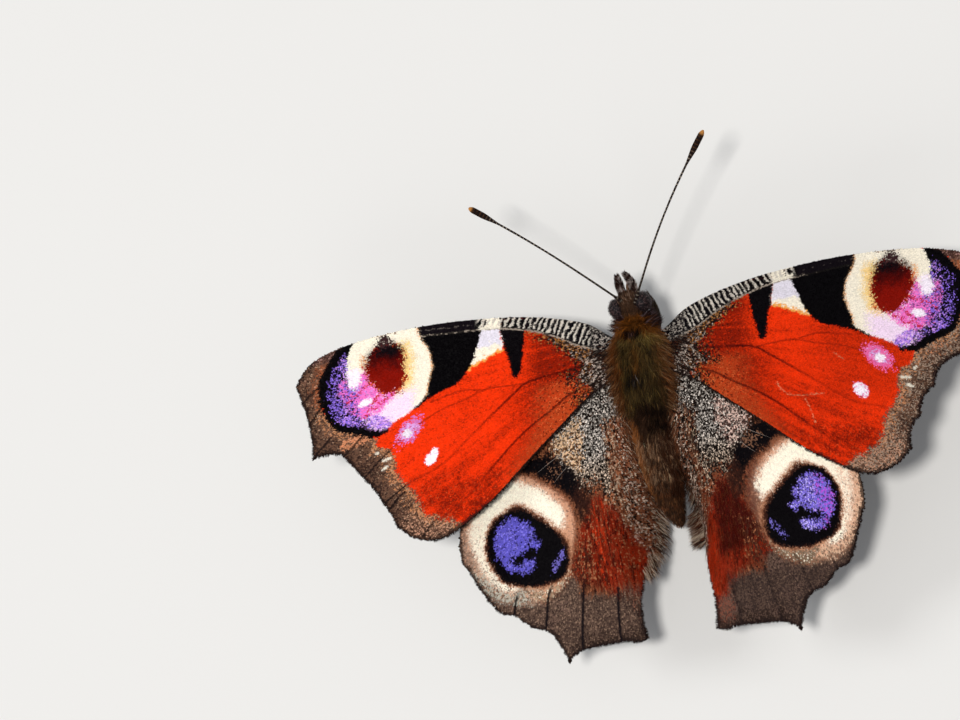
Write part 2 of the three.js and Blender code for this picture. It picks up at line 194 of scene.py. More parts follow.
class Coat:
    """Colours of many scales, laid on layer by layer. A scale takes a layer's colour whole, by its own
    chance, so that soft borders come out as a mosaic of scales."""

    def __init__(self, places, ground, chance, blend=0.12):
        self.p = places
        self.chance = chance
        self.blend = blend
        self.colour = np.tile(np.asarray(ground, float), (len(places), 1))

    def lay(self, colour, share, mosaic=1.0):
        """A layer of one colour, given as linear light or as a tuple of three sRGB levels."""
        if isinstance(colour, tuple):
            colour = srgb(*colour)
        whole = np.asarray(share) + np.zeros(len(self.p))
        reached = whole * (1 + 2 * self.blend) - self.blend
        picked = ramp(self.chance - self.blend, self.chance + self.blend, reached)
        self.colour = mix(self.colour, colour, mosaic * picked + (1 - mosaic) * whole)

    def flecks(self, seed, size, colour, share, way=None):
        """A layer that comes out as flecks of the given size."""
        self.reroll(seed, size, way)
        self.lay(colour, share)

    def reroll(self, seed, size=None, places=None):
        """A fresh chance for every scale. With a size, neighbours share it and come out as flecks."""
        value = noise(self.p, 0.021, seed)
        if size is not None:
            value = noise(self.p if places is None else places, size, seed + 1) + 0.35 * value
        order = np.argsort(value)
        self.chance = np.empty(len(value))
        self.chance[order] = (np.arange(len(value)) + 0.5) / len(value)


# Forewing markings, in millimetres of span and of reach toward the head
FORE_VEINS = [
    [
        (3.0, -1.0), (4.6, -1.2), (6.4, -1.4), (8.4, -1.8), (9.8, -2.75), (12.0, -4.35), (14.0, -5.9),
        (17.0, -8.1), (20.0, -9.2), (22.8, -10.9),
    ],
    [
        (1.8, -2.2), (3.0, -2.85), (4.6, -3.6), (6.3, -4.7), (8.2, -5.8), (10.2, -7.3), (13.0, -9.8),
        (16.0, -12.4),
    ],
    [(8.6, -1.8), (10.0, -1.72), (12.0, -1.7), (14.0, -2.3), (17.4, -3.3), (21.2, -5.6), (24.3, -8.1)],
    [(12.6, -1.7), (14.6, -1.5), (17.4, -2.1)],
    [(23.6, -3.8), (24.6, -4.6), (26.2, -5.9)],
    [(27.6, -0.7), (28.3, -1.35), (29.3, -2.6)],
    [(28.2, 0.9), (29.0, 0.35), (29.9, -0.5)],
    [(27.2, -3.9), (28.2, -4.8), (29.2, -5.6)],
    [(20.6, -10.0), (21.4, -10.6), (22.3, -11.5)],
    [(17.8, -12.9), (18.6, -13.6), (19.4, -14.4)],
]
COSTAL_LINE = [
    (-0.6, -0.1), (0.6, 0.05), (3.0, 0.95), (5.0, 2.05), (6.7, 2.8), (8.0, 3.22), (10.0, 3.7),
    (12.0, 3.95), (18.0, 4.3),
]
WEDGE = [
    (8.05, 4.2), (8.15, 2.9), (8.3, 1.8), (8.5, 0.7), (8.75, -0.4), (8.95, -1.05), (9.25, -1.1),
    (9.5, -0.7), (9.7, 0.1), (9.9, 1.2), (10.25, 2.3), (10.5, 3.2), (10.6, 4.2),
]
PATCH = [
    (10.55, 4.9), (10.5, 3.4), (10.3, 2.4), (10.3, 1.85), (10.7, 1.5), (11.6, 1.3), (12.1, 0.8),
    (12.9, 0.5), (13.8, 0.1), (13.5, 2.0), (12.6, 4.9),
]
BAR = [
    (12.1, 4.9), (12.45, 3.4), (12.75, 2.4), (13.1, 1.5), (13.75, 0.4), (14.7, -0.6), (16.2, -1.15),
    (17.7, -1.7), (19.4, -2.0), (19.0, 5.0),
]
RIM = [
    (24.6, 4.7), (25.5, 4.55), (26.4, 4.05), (27.2, 3.05), (27.9, 1.95), (28.15, 0.9), (28.05, -0.1),
    (27.7, -1.1), (27.3, -2.2), (26.6, -3.1), (25.5, -3.5), (24.3, -3.95), (23.3, -4.35), (22.3, -4.2),
    (21.6, -3.7), (21.0, 1.0),
]
SPOT_FIELD = [
    (18.6, 5.8), (18.25, 4.6), (17.9, 3.8), (17.45, 3.1), (17.2, 2.2), (17.1, 1.3), (17.35, 0.4),
    (17.65, -0.5), (17.8, -1.3), (18.6, -2.05), (19.5, -2.55), (20.5, -3.05), (21.6, -3.55), (22.4, -3.9),
    (23.6, -3.3), (24.6, -2.2), (25.4, -0.8), (25.6, 1.0), (25.4, 2.6), (25.1, 3.6), (24.6, 4.6),
    (23.4, 5.0), (21.5, 5.1), (20.3, 5.5),
]
YELLOW = [(19.3, 4.0), (18.95, 2.6), (19.0, 1.0), (19.3, -0.3), (20.4, -0.5), (20.5, 1.5), (20.6, 3.6)]
VIOLET = [
    (25.3, 3.6), (26.2, 3.0), (27.2, 1.6), (27.45, 0.3), (27.3, -1.3), (26.95, -2.6), (25.6, -3.05),
    (24.0, -3.5), (22.6, -3.95), (21.2, -3.3), (22.4, -2.5), (24.0, -2.1), (25.2, -1.0), (25.5, 0.5),
    (25.2, 2.2),
]
ROSE_AREA = [
    (20.6, -0.4), (21.6, -0.1), (22.6, 0.5), (23.3, 1.6), (24.0, 1.5), (24.4, 0.6), (25.6, 1.3),
    (26.0, 0.3), (25.4, -1.2), (24.6, -2.2), (23.4, -2.5), (21.9, -1.7),
]
RED_RAYS = [
    [(22.7, 1.0), (24.0, 0.0), (25.6, -0.9)],
    [(20.2, 0.1), (21.3, -0.9), (22.4, -1.6), (24.0, -2.5)],
    [(22.6, 1.6), (23.2, 1.7), (23.8, 2.2)],
    [(21.6, -0.5), (22.4, -0.6), (23.4, -1.9)],
]
PUPIL = [
    (21.4, 4.15), (22.2, 3.95), (22.95, 3.35), (23.45, 2.55), (23.5, 1.6), (23.15, 0.7), (22.4, -0.1),
    (21.6, -0.6), (20.8, -0.6), (20.0, 0.0), (19.75, 1.1), (19.75, 2.3), (20.05, 3.3), (20.65, 3.95),
]
SCRATCHES = [
    [(10.1, -5.3), (10.5, -6.0), (11.5, -6.7), (14.3, -7.0)],
    [(12.6, -7.2), (13.0, -8.3), (13.3, -9.5)],
    [(15.6, -3.4), (16.6, -4.3)],
]
MARGIN_INNER = [
    (20.6, 5.55), (21.2, 5.0), (22.8, 5.0), (24.6, 4.6), (26.2, 3.9), (27.2, 2.6), (27.8, 0.9),
    (27.6, -1.0), (26.9, -2.6), (25.4, -3.4), (23.6, -4.1), (22.9, -4.7), (22.75, -5.3), (21.7, -5.9),
    (21.3, -6.8), (21.2, -8.0), (20.7, -8.9), (19.8, -9.9), (19.4, -11.0), (19.0, -12.2), (17.6, -12.9),
    (16.4, -13.3), (15.4, -14.1), (14.6, -14.6),
]
MARGIN_OUTER = [(14.0, -19.0), (34.0, -19.0), (34.0, 9.0), (20.0, 9.0)]
MARGIN_DASHES = [((22.0, -6.72), -0.2, 0.5), ((22.95, -6.0), 0.1, 0.24), ((22.3, -7.5), -0.6, 0.35)]
PALE_SPOTS = [((19.7, -4.4), -0.75, (2.0, 1.0), 1.0), ((17.78, -7.2), -0.9, (0.98, 0.6), 0.5)]
REAR_EDGE = [(2.3, -4.0), (4.75, -5.95), (8.45, -8.95), (12.2, -12.1), (15.8, -14.4)]

VERMILION = srgb(248, 56, 8)
BRICK = srgb(126, 22, 4)
RUST = srgb(196, 74, 32)
INK = srgb(7, 4, 7)
DUSK = srgb(44, 30, 24)
CREAM = srgb(252, 243, 224)
BUTTER = srgb(252, 216, 138)
BONE = srgb(226, 216, 202)
ICE = srgb(234, 228, 238)
LILAC = srgb(252, 228, 250)
ROSE = srgb(250, 118, 206)
VIOLET_BLUE = srgb(140, 108, 222)
MAROON = srgb(58, 3, 3)
BLOOD = srgb(136, 16, 4)
BARK = srgb(104, 74, 58)
TAN = srgb(196, 134, 92)
WHITE = srgb(255, 246, 255)


def vein_share(p, veins, half_width, steps=10, reach=1.5):
    share = np.zeros(len(p))
    for vein in veins:
        distance, _ = path_distance(p, smooth_curve(vein, steps * len(vein)), reach)
        share = np.maximum(share, ramp(half_width * 1.6, half_width * 0.5, distance))
    return share


def forewing_upper(p, chance, seed, bar_period, worn_and_shaded=0.0):
    """Markings of the forewing's upper side; with worn set it is duller, scratched and pinker, and is also
    painted darker overall as shade, since it lies in less light.
    """
    out, fore = p.T
    coat = Coat(p, VERMILION, chance)
    ray = np.column_stack([np.arctan2(fore - 1.5, out + 4.0) * 14, np.hypot(out + 4, fore - 1.5)])
    streak = noise(ray, (0.16, 3.2), seed + 1) + 0.7 * noise(ray, (0.5, 6.0), seed + 2)
    grain = noise(p, 0.25, seed + 3) + noise(p, 0.6, seed + 4)
    fleck = noise(p, 0.09, seed + 25)

    # Red field, browner to the body and along its hind edge
    coat.lay(BRICK, np.clip(0.12 + 0.15 * streak + 0.1 * grain + 0.16 * fleck, 0, 1), mosaic=0.3)
    cell = ramp(-1.9, -1.2, fore + 0.12 * (out - 5.0))
    near = ramp(12.0, 6.5, out) * (1 - cell) * 0.8 + ramp(9.4, 6.6, out) * cell * 0.88
    coat.lay(BRICK, near * np.clip(0.95 + 0.22 * streak + 0.12 * fleck, 0, 1), mosaic=0.25)
    from_band = np.abs(fore + 6.2 + 0.62 * (out - 11.0))
    band = ramp(0.9, 0.2, from_band) * ramp(9.0, 12.0, out) * ramp(19.0, 15.0, out)
    coat.lay(BRICK, 0.42 * band * (1 + 0.4 * streak), mosaic=0.3)
    behind = ramp(-6.5, -10.5, fore + 0.12 * (out - 12.0))
    coat.lay(BRICK, behind * (0.46 + 0.22 * streak + 0.16 * grain + 0.12 * fleck), mosaic=0.3)
    blotch = oval(p, (17.0, -11.2), (1.7, 1.1))
    coat.lay(BRICK, 0.45 * ramp(1.2, 0.5, blotch + 0.2 * grain), mosaic=0.4)
    base = ramp(8.5, 4.5, out + 0.2 * fore + 0.4 * grain) * ramp(-1.4, -2.6, fore)
    coat.lay(RUST, 0.7 * base, mosaic=0.4)
    coat.lay(RUST, 0.5 * ramp(2.6, 0.4, depth_under(p)) * ramp(13.0, 8.0, out), mosaic=0.4)
    coat.flecks(31, 0.09, (84, 20, 8), 0.13 * ramp(12.0, 6.0, out) + 0.04)
    coat.flecks(32, 0.085, (232, 110, 58), 0.06 * ramp(-7.0, -11.0, fore) + 0.14 * base + 0.02)
    veins = vein_share(p, FORE_VEINS[:2], 0.085)
    coat.lay(MAROON, veins * (0.75 - 0.4 * ramp(10.0, 14.0, out)), mosaic=0.2)
    coat.lay(BRICK, 0.55 * vein_share(p, FORE_VEINS[2:4], 0.065), mosaic=0.2)
    if worn_and_shaded:
        coat.reroll(61, 0.085)
        coat.lay((228, 140, 98), 0.62 * vein_share(p + 0.05 * fleck[:, None], SCRATCHES, 0.05), mosaic=0.6)
        # Painted shade: the red beyond the middle of the right wing is darker, as it lies in less light.
        coat.lay(BRICK, 0.34 * ramp(11.5, 17.0, out) * ramp(-9.5, -6.5, fore), mosaic=0.3)

    # Ochre, dark and pale flecks at the base
    line_height = np.interp(out, *smooth_curve(COSTAL_LINE, 60).T)
    above = fore - line_height
    by_costa = ramp(-1.9, -0.2, above)
    spread = out + 0.5 * grain - 3.4 * by_costa - 0.9 * ramp(1.1, 0.3, np.abs(fore + 2.0))
    coat.reroll(33, 0.085)
    dark = 0.94 * ramp(5.6, 1.3, spread)
    coat.lay((30, 19, 16), dark)
    golden = (0.16 + 0.12 * by_costa) * ramp(6.6, 3.0, spread) * ramp(1.2, 2.6, out)
    coat.flecks(34, 0.085, (178, 118, 62), golden)
    hoary = 0.25 * ramp(3.7, 1.7, spread) * ramp(0.2, 1.1, out) * (1 - 0.5 * by_costa)
    coat.flecks(2, 0.09, (208, 190, 176), hoary)

    # White bars over the black costa
    reach_in = ramp(20.2, 18.4, out)
    coat.lay(INK * 1.6, ramp(-0.1, 0.04, above) * reach_in, mosaic=0.2)

    # Black wedge, pale patch and great bar
    coat.reroll(3)
    coat.lay(BRICK * 0.6, 0.7 * shape(p, WEDGE, 0.3, 0.2, seed + 5), mosaic=0.8)
    coat.lay(INK, shape(p, WEDGE, 0.1, 0.1, seed + 5), mosaic=0.8)
    patch = shape(p, PATCH, 0.12, 0.1, seed + 6)
    rise = fore + 0.35 * (out - 11.2) + 0.22 * grain
    coat.lay(VERMILION, patch, mosaic=0.4)
    coat.lay((250, 176, 84), patch * ramp(0.9, 1.5, rise), mosaic=0.9)
    coat.lay(CREAM, patch * ramp(1.3, 1.9, rise), mosaic=0.9)
    coat.lay(ICE, patch * ramp(2.0, 2.7, fore + 0.3 * grain) * ramp(4.1, 3.7, fore), mosaic=0.6)
    coat.reroll(4)
    coat.lay(BRICK * 0.5, 0.6 * shape(p, BAR, 0.25, 0.15, seed + 8), mosaic=0.8)
    coat.lay(INK * 0.6, shape(p, BAR, 0.09, 0.07, seed + 8), mosaic=0.9)
    coat.lay(INK * 2.6, 0.8 * ramp(0.02, 0.12, above) * ramp(12.5, 13.1, out) * reach_in, mosaic=0.4)
    coat.reroll(36, (0.3, 0.1))
    pale_line = ramp(0.12, 0.04, np.abs(above + 0.01)) * ramp(0.8, 2.4, out)
    line_share = 0.8 - (0.4 + 0.3 * worn_and_shaded) * ramp(12.0, 14.0, out)
    coat.lay((162, 148, 134), pale_line * line_share * reach_in, mosaic=0.8)
    grey_line = ramp(0.09, 0.03, np.abs(above - 0.5)) * ramp(12.8, 14.0, out)
    coat.lay((84, 76, 72), (0.5 - 0.3 * worn_and_shaded) * grey_line * reach_in)

    # Costal bars
    run = np.where(out < 8.0, out / bar_period, 8.0 / bar_period + (out - 8.0) / (bar_period + 0.12))
    lean = run + 0.85 * above + 0.28 * noise(p, 1.1, seed + 9) + 0.24 * noise(p, 0.4, seed + 19)
    bars = np.cos(2 * np.pi * lean) + 0.4 * noise(p, 0.12, seed + 10) + 0.3 * noise(p, 0.3, seed + 21)
    upper_edge = ramp(0.1, 0.24, above + 0.12 * noise(p, 0.35, seed + 20))
    fade = ramp(1.5, 2.4, out) * ramp(12.9, 12.2, out) * upper_edge
    width = 0.3 - 0.2 * ramp(9.8, 10.6, out) * ramp(12.4, 11.9, out)
    coat.lay(BONE * 0.85, fade * ramp(width, width + 0.3, bars), mosaic=0.4)
    shelf = ramp(0.42, 0.3, above + 0.2 * fleck) * ramp(-0.05, 0.05, above)
    coat.lay(CREAM * 0.9, 0.9 * shelf * ramp(10.2, 10.6, out) * ramp(12.7, 12.2, out), mosaic=0.6)
    coat.flecks(5, 0.1, (170, 160, 150), 0.36 * ramp(2.4, 1.6, out) * ramp(0.0, 0.2, above))

    # Brown margin, rustier on its inner side, with dark veins
    coat.reroll(13)
    inner = smooth_curve(MARGIN_INNER, 130)
    depth = depth_in(p, np.vstack([inner, MARGIN_OUTER]), 4.0) + 0.12 * grain + 0.2 * fleck
    soft = 0.12 + 0.35 * ramp(-5.0, -9.0, fore)
    margin = ramp(-soft, soft, depth)
    coat.lay(BARK, margin, mosaic=0.85)
    cloud = noise(p, 1.3, seed + 31) + 0.6 * noise(p, 0.6, seed + 32)
    coat.lay((72, 50, 44), margin * np.clip(0.3 * cloud, 0, 1), mosaic=0.4)
    coat.lay((140, 98, 80), margin * np.clip(-0.3 * cloud, 0, 1), mosaic=0.4)
    coat.flecks(37, 0.1, (60, 42, 35), 0.42 * margin * ramp(0.4, 1.8, depth))
    coat.flecks(38, 0.09, TAN, margin * ramp(1.9, 0.1, depth) * 0.56 * ramp(0.8, -3.0, fore))
    rusty = margin * ramp(1.6, 0.2, depth) * ramp(-2.6, 0.0, fore) * ramp(4.0, 2.6, fore)
    coat.lay((170, 92, 56), 0.6 * rusty, mosaic=0.7)
    below_spot = np.hypot((out - 25.0) / 1.7, (fore + 4.6 + 0.25 * (out - 25.0)) / 0.75) + 0.15 * grain
    coat.lay((212, 140, 100), 0.75 * (1 - 0.7 * worn_and_shaded) * margin * ramp(1.2, 0.5, below_spot))
    corner = margin * ramp(-10.5, -13.5, fore)
    coat.lay((196, 146, 118), (0.3 + 0.12 * worn_and_shaded) * corner)
    coat.flecks(39, 0.085, (214, 172, 140), 0.13 * margin * ramp(4.0, 0.8, depth))
    coat.flecks(51, 0.08, (34, 22, 18), 0.16 * margin)
    blush = margin * ramp(2.8, 3.8, fore)
    coat.reroll(14, (0.28, 0.1))
    coat.lay((96, 66, 60), 0.8 * blush, mosaic=0.5)
    coat.lay((176, 132, 122), 0.36 * blush)
    coat.flecks(40, 0.085, (70, 46, 40), 0.5 * blush)
    coat.lay((158, 136, 118), 0.3 * worn_and_shaded * margin * ramp(2.5, 1.0, fore))
    coat.lay(INK * 1.5, (0.85 - 0.5 * worn_and_shaded) * margin * vein_share(p, FORE_VEINS, 0.075), mosaic=0.2)
    for place, turn, long in MARGIN_DASHES:
        dash = oval(p, place, (long, 0.14), turn)
        coat.lay(CREAM * 0.85, 0.85 * ramp(1.4, 0.7, dash), mosaic=0.6)

    # Eyespot: black rim, cream field, violet and pink scales, dark red pupil
    coat.reroll(6)
    coat.lay(INK * 0.7, shape(p, RIM, 0.1, 0.1, seed + 11), mosaic=0.9)
    coat.lay(CREAM, shape(p, SPOT_FIELD, 0.11, 0.08, seed + 12), mosaic=0.8)
    top_edge = shape(p, SPOT_FIELD, 0.2, 0.1, seed + 12) * ramp(4.75, 5.2, fore)
    coat.flecks(41, 0.095, (150, 122, 100), 0.7 * top_edge * ramp(19.6, 20.6, out))
    coat.flecks(66, 0.085, (52, 38, 34), 0.45 * top_edge * ramp(20.2, 21.2, out))
    coat.reroll(42)
    spot_depth = depth_in(p, SPOT_OUTLINE, 1.0)
    left_edge = ramp(0.3, 0.05, spot_depth) * (spot_depth > -0.1)
    left_edge = left_edge * ramp(19.6, 18.2, out) * ramp(-3.2, -0.4, fore)
    coat.lay((236, 176, 120), 0.4 * left_edge, mosaic=0.7)
    coat.lay(BUTTER, 0.95 * shape(p, YELLOW, 0.7, 0.25, seed + 13), mosaic=0.5)
    peach = ramp(0.6, 0.2, np.abs(out - 23.7)) * ramp(1.9, 2.4, fore) * ramp(3.8, 3.0, fore)
    coat.lay((240, 180, 120), 0.5 * peach, mosaic=0.8)
    coat.reroll(7)
    lower = ramp(0.2, -1.4, fore + 0.35 * (out - 20.0)) * ramp(18.0, 20.0, out)
    right = ramp(23.4, 24.6, out + 0.3 * grain) * ramp(2.6, 1.6, fore)
    coat.lay(LILAC, 0.9 * np.maximum(lower, right) * shape(p, SPOT_FIELD, 0.2, 0.1, seed + 12), mosaic=0.6)
    violet = shape(p, VIOLET, 0.3, 0.22, seed + 14)
    coat.lay(INK, violet * ramp(24.0, 25.3, out + 0.3 * grain - 0.2 * (fore > 0) * fore), mosaic=0.9)
    coat.lay((226, 170, 236), 0.75 * violet * ramp(24.6, 22.6, out), mosaic=0.6)
    coat.reroll(8, 0.1)
    thick = 0.48 + 0.2 * ramp(0.6, -0.8, fore) - 0.2 * ramp(26.6, 27.3, out)
    thick = thick - 0.25 * ramp(25.2, 24.2, out) * ramp(-1.8, -2.4, fore)
    coat.lay(VIOLET_BLUE, violet * np.clip(thick, 0, 1))
    coat.flecks(9, 0.095, (206, 150, 240), 0.36 * violet * ramp(27.2, 25.6, out))
    coat.flecks(43, 0.1, INK * 1.5, (0.32 + 0.14 * worn_and_shaded) * violet * ramp(22.4, 24.0, out))
    coat.flecks(69, 0.09, (96, 60, 116), 0.22 * violet * ramp(24.4, 22.8, out))
    coat.reroll(10)
    pink = shape(p, ROSE_AREA, 0.3, 0.25, seed + 16)
    coat.lay(ROSE, 0.95 * pink, mosaic=0.7)
    coat.flecks(44, 0.09, (206, 130, 226), 0.3 * pink)
    coat.lay((255, 196, 236), 0.2 * pink * ramp(24.2, 23.2, out))
    coat.flecks(67, 0.095, VIOLET_BLUE, 0.42 * pink * ramp(23.6, 24.8, out))
    coat.flecks(68, 0.1, (40, 14, 40), 0.34 * pink * ramp(23.8, 25.0, out))
    coat.flecks(52, 0.085, (118, 50, 120), (0.13 + 0.1 * worn_and_shaded) * pink * ramp(22.0, 23.4, out))
    coat.reroll(45, 0.085)
    rays = vein_share(p + 0.12 * np.column_stack([fleck, grain]), RED_RAYS, 0.15, 6)
    coat.lay((206, 40, 62), 0.5 * rays * ramp(26.4, 24.6, out + 0.3 * fleck))
    rim_depth = depth_in(p, RIM_OUTLINE, 1.5) + 0.2 * fleck
    low_rim = ramp(0.62, 0.3, rim_depth) * ramp(-0.3, -0.1, rim_depth) * ramp(21.5, 23.0, out)
    coat.lay(INK * 0.7, low_rim * ramp(1.0, -1.0, fore))
    shine = np.hypot((out - 23.75) / 0.6, (fore + 1.1 - 0.25 * (23.75 - out)) / 0.34)
    coat.lay(WHITE, ramp(1.4, 0.7, shine + 0.2 * fleck), mosaic=0.7)
    glint = oval(p, (24.7, 1.2), (0.6, 0.9))
    coat.lay(WHITE, 0.9 * ramp(1.5, 0.5, glint + 0.3 * fleck), mosaic=0.7)

    coat.reroll(11)
    coat.lay((228, 104, 40), 0.9 * shape(p, PUPIL, 0.5, 0.3, seed + 20), mosaic=0.8)
    coat.lay(BLOOD, shape(p, PUPIL, 0.26, 0.36, seed + 21), mosaic=0.9)
    core = shape(p, PUPIL, 0.7, 0.25, seed + 22)
    coat.lay(MAROON, core * ramp(0.8, 3.2, fore + 0.3 * grain), mosaic=0.3)
    coat.lay(INK * 1.5, core * ramp(2.6, 3.6, fore + 0.2 * grain), mosaic=0.5)
    notch = np.hypot((out - 21.6) / (0.62 + 0.3 * ramp(4.6, 4.0, fore)), (fore - 4.4) / 0.62)
    coat.lay((58, 34, 36), 0.85 * ramp(1.4, 0.6, notch + 0.5 * fleck))

    # Two pale spots beyond the eyespot, in the red
    coat.reroll(12, 0.085)
    halo_colour = srgb(216, 122, 196) * (1 - worn_and_shaded) + srgb(240, 108, 172) * worn_and_shaded
    for place, turn, half, halo in PALE_SPOTS:
        far = oval(p, place, half, turn) + 0.1 * grain + 0.1 * fleck
        coat.lay(halo_colour, (0.85 * halo + 0.2 * worn_and_shaded) * ramp(1.2, 0.45, far))
        if halo == 1.0:
            heart = oval(p, (19.9, -4.6), (0.55, 0.45))
            coat.lay((226, 176, 232), (0.7 - 0.25 * worn_and_shaded) * ramp(0.85, 0.35, far))
            coat.lay(WHITE * (0.86 + 0.14 * worn_and_shaded), ramp(1.15, 0.55, heart + 0.2 * fleck), mosaic=0.8)
        else:
            coat.lay(WHITE, ramp(1.0, 0.7, far), mosaic=0.8)
            coat.lay((240, 140, 190), (0.12 + 0.25 * worn_and_shaded) * ramp(1.1, 0.8, far) * ramp(0.2, 0.6, far))
    # Each scale's tone differs at random; with worn set the whole wing is also painted darker as shade.
    return coat.colour * (1 + 0.22 * (chance[:, None] - 0.5)) * (1 - 0.14 * worn_and_shaded)


SPOT_OUTLINE = smooth_curve(SPOT_FIELD, 6 * len(SPOT_FIELD), closed=True)
RIM_OUTLINE = smooth_curve(RIM, 6 * len(RIM), closed=True)


def depth_under(p):
    """How far a place lies from the forewing's hind edge."""
    return path_distance(p, smooth_curve(REAR_EDGE, 30), 3.0)[0]


# Hindwing markings
HIND_VEINS = [
    [(5.0, -12.0), (5.9, -15.7), (6.3, -17.5), (6.9, -20.5), (7.2, -22.7)],
    [(8.4, -14.5), (9.1, -16.0), (9.6, -17.1), (10.0, -18.7), (10.4, -20.2)],
    [(11.4, -14.0), (12.1, -15.7), (12.7, -17.1), (13.05, -18.4)],
    [(14.0, -13.0), (15.1, -15.1), (15.6, -16.1)],
    [(2.9, -17.0), (3.2, -19.0), (3.35, -20.6), (3.45, -22.4)],
]
SMUDGE = [
    (9.9, -4.9), (8.6, -4.1), (7.0, -4.4), (6.2, -5.3), (5.3, -6.2), (4.9, -7.6), (5.0, -9.0), (5.7, -8.6),
    (6.5, -7.6), (7.6, -6.7), (8.9, -5.9), (10.4, -5.5),
]
RING = [
    (11.6, -5.0), (9.6, -5.7), (7.7, -6.9), (6.4, -8.2), (5.8, -9.8), (5.9, -11.6), (6.6, -13.4),
    (7.2, -15.0), (8.4, -16.6), (10.4, -17.3), (12.6, -17.2), (14.4, -16.5), (15.6, -15.2), (16.5, -13.2),
    (17.3, -10.5), (17.0, -6.0), (14.0, -4.0),
]
RING_WHITE = [
    (12.5, -5.3), (10.4, -6.3), (9.0, -7.0), (7.8, -8.0), (7.0, -9.2), (6.9, -10.3), (7.4, -11.0),
    (9.0, -12.0), (11.8, -14.0), (12.3, -15.8), (13.4, -15.9), (14.5, -15.0), (15.3, -13.5),
    (15.7, -11.6), (15.7, -10.0), (15.4, -8.6), (15.0, -5.0),
]
DISC = [
    (11.2, -8.65), (12.5, -8.95), (13.7, -10.0), (14.3, -11.6), (14.05, -13.6), (13.2, -14.9),
    (11.9, -15.5), (10.3, -15.75), (9.0, -15.6), (7.7, -15.05), (7.15, -13.9), (7.25, -12.5),
    (7.7, -11.5), (8.6, -10.5), (9.7, -9.6), (10.4, -8.95),
]
BLUE_AREAS = [
    [
        (11.8, -9.35), (12.9, -9.9), (13.6, -11.0), (13.75, -12.1), (13.3, -13.2), (12.6, -13.6),
        (12.1, -12.9), (11.1, -12.5), (10.4, -11.7), (10.0, -10.8), (10.7, -9.8),
    ],
    [(9.3, -11.8), (9.9, -11.5), (10.5, -11.8), (10.3, -12.4), (9.7, -12.4)],
    [
        (10.2, -13.3), (10.9, -13.3), (11.9, -13.6), (13.0, -13.3), (12.7, -14.1), (11.6, -14.5),
        (10.6, -14.3),
    ],
]
CRESCENT = [
    (7.45, -12.7), (8.0, -13.2), (8.6, -14.0), (8.95, -14.9), (8.4, -14.7), (7.8, -14.0), (7.4, -13.3),
]
RED_FAN = [
    (3.5, -8.4), (4.6, -9.7), (5.35, -11.0), (6.15, -12.8), (6.9, -14.5), (6.6, -15.6), (5.4, -16.6),
    (3.6, -17.5), (1.4, -17.9), (0.5, -16.8), (0.6, -14.6), (1.2, -12.2), (2.2, -10.0),
]
DEEP_FAN = [
    (3.6, -8.6), (4.4, -9.2), (5.3, -10.6), (6.2, -12.3), (7.0, -14.2), (7.4, -15.4), (6.2, -16.3),
    (4.2, -17.0), (3.0, -18.3), (1.6, -19.8), (0.4, -21.0), (0.3, -17.4), (0.9, -14.6), (1.6, -12.2),
    (2.6, -10.2),
]
PALE_SHOULDER = [
    (4.3, -1.4), (5.6, -2.2), (7.0, -3.3), (7.0, -4.4), (5.8, -5.3), (4.8, -5.9), (4.3, -4.4),
    (3.9, -2.6),
]

UMBER = srgb(112, 66, 44)
SLATE = srgb(92, 71, 60)
FOX = srgb(132, 34, 12)
BLUEBELL = srgb(98, 90, 198)


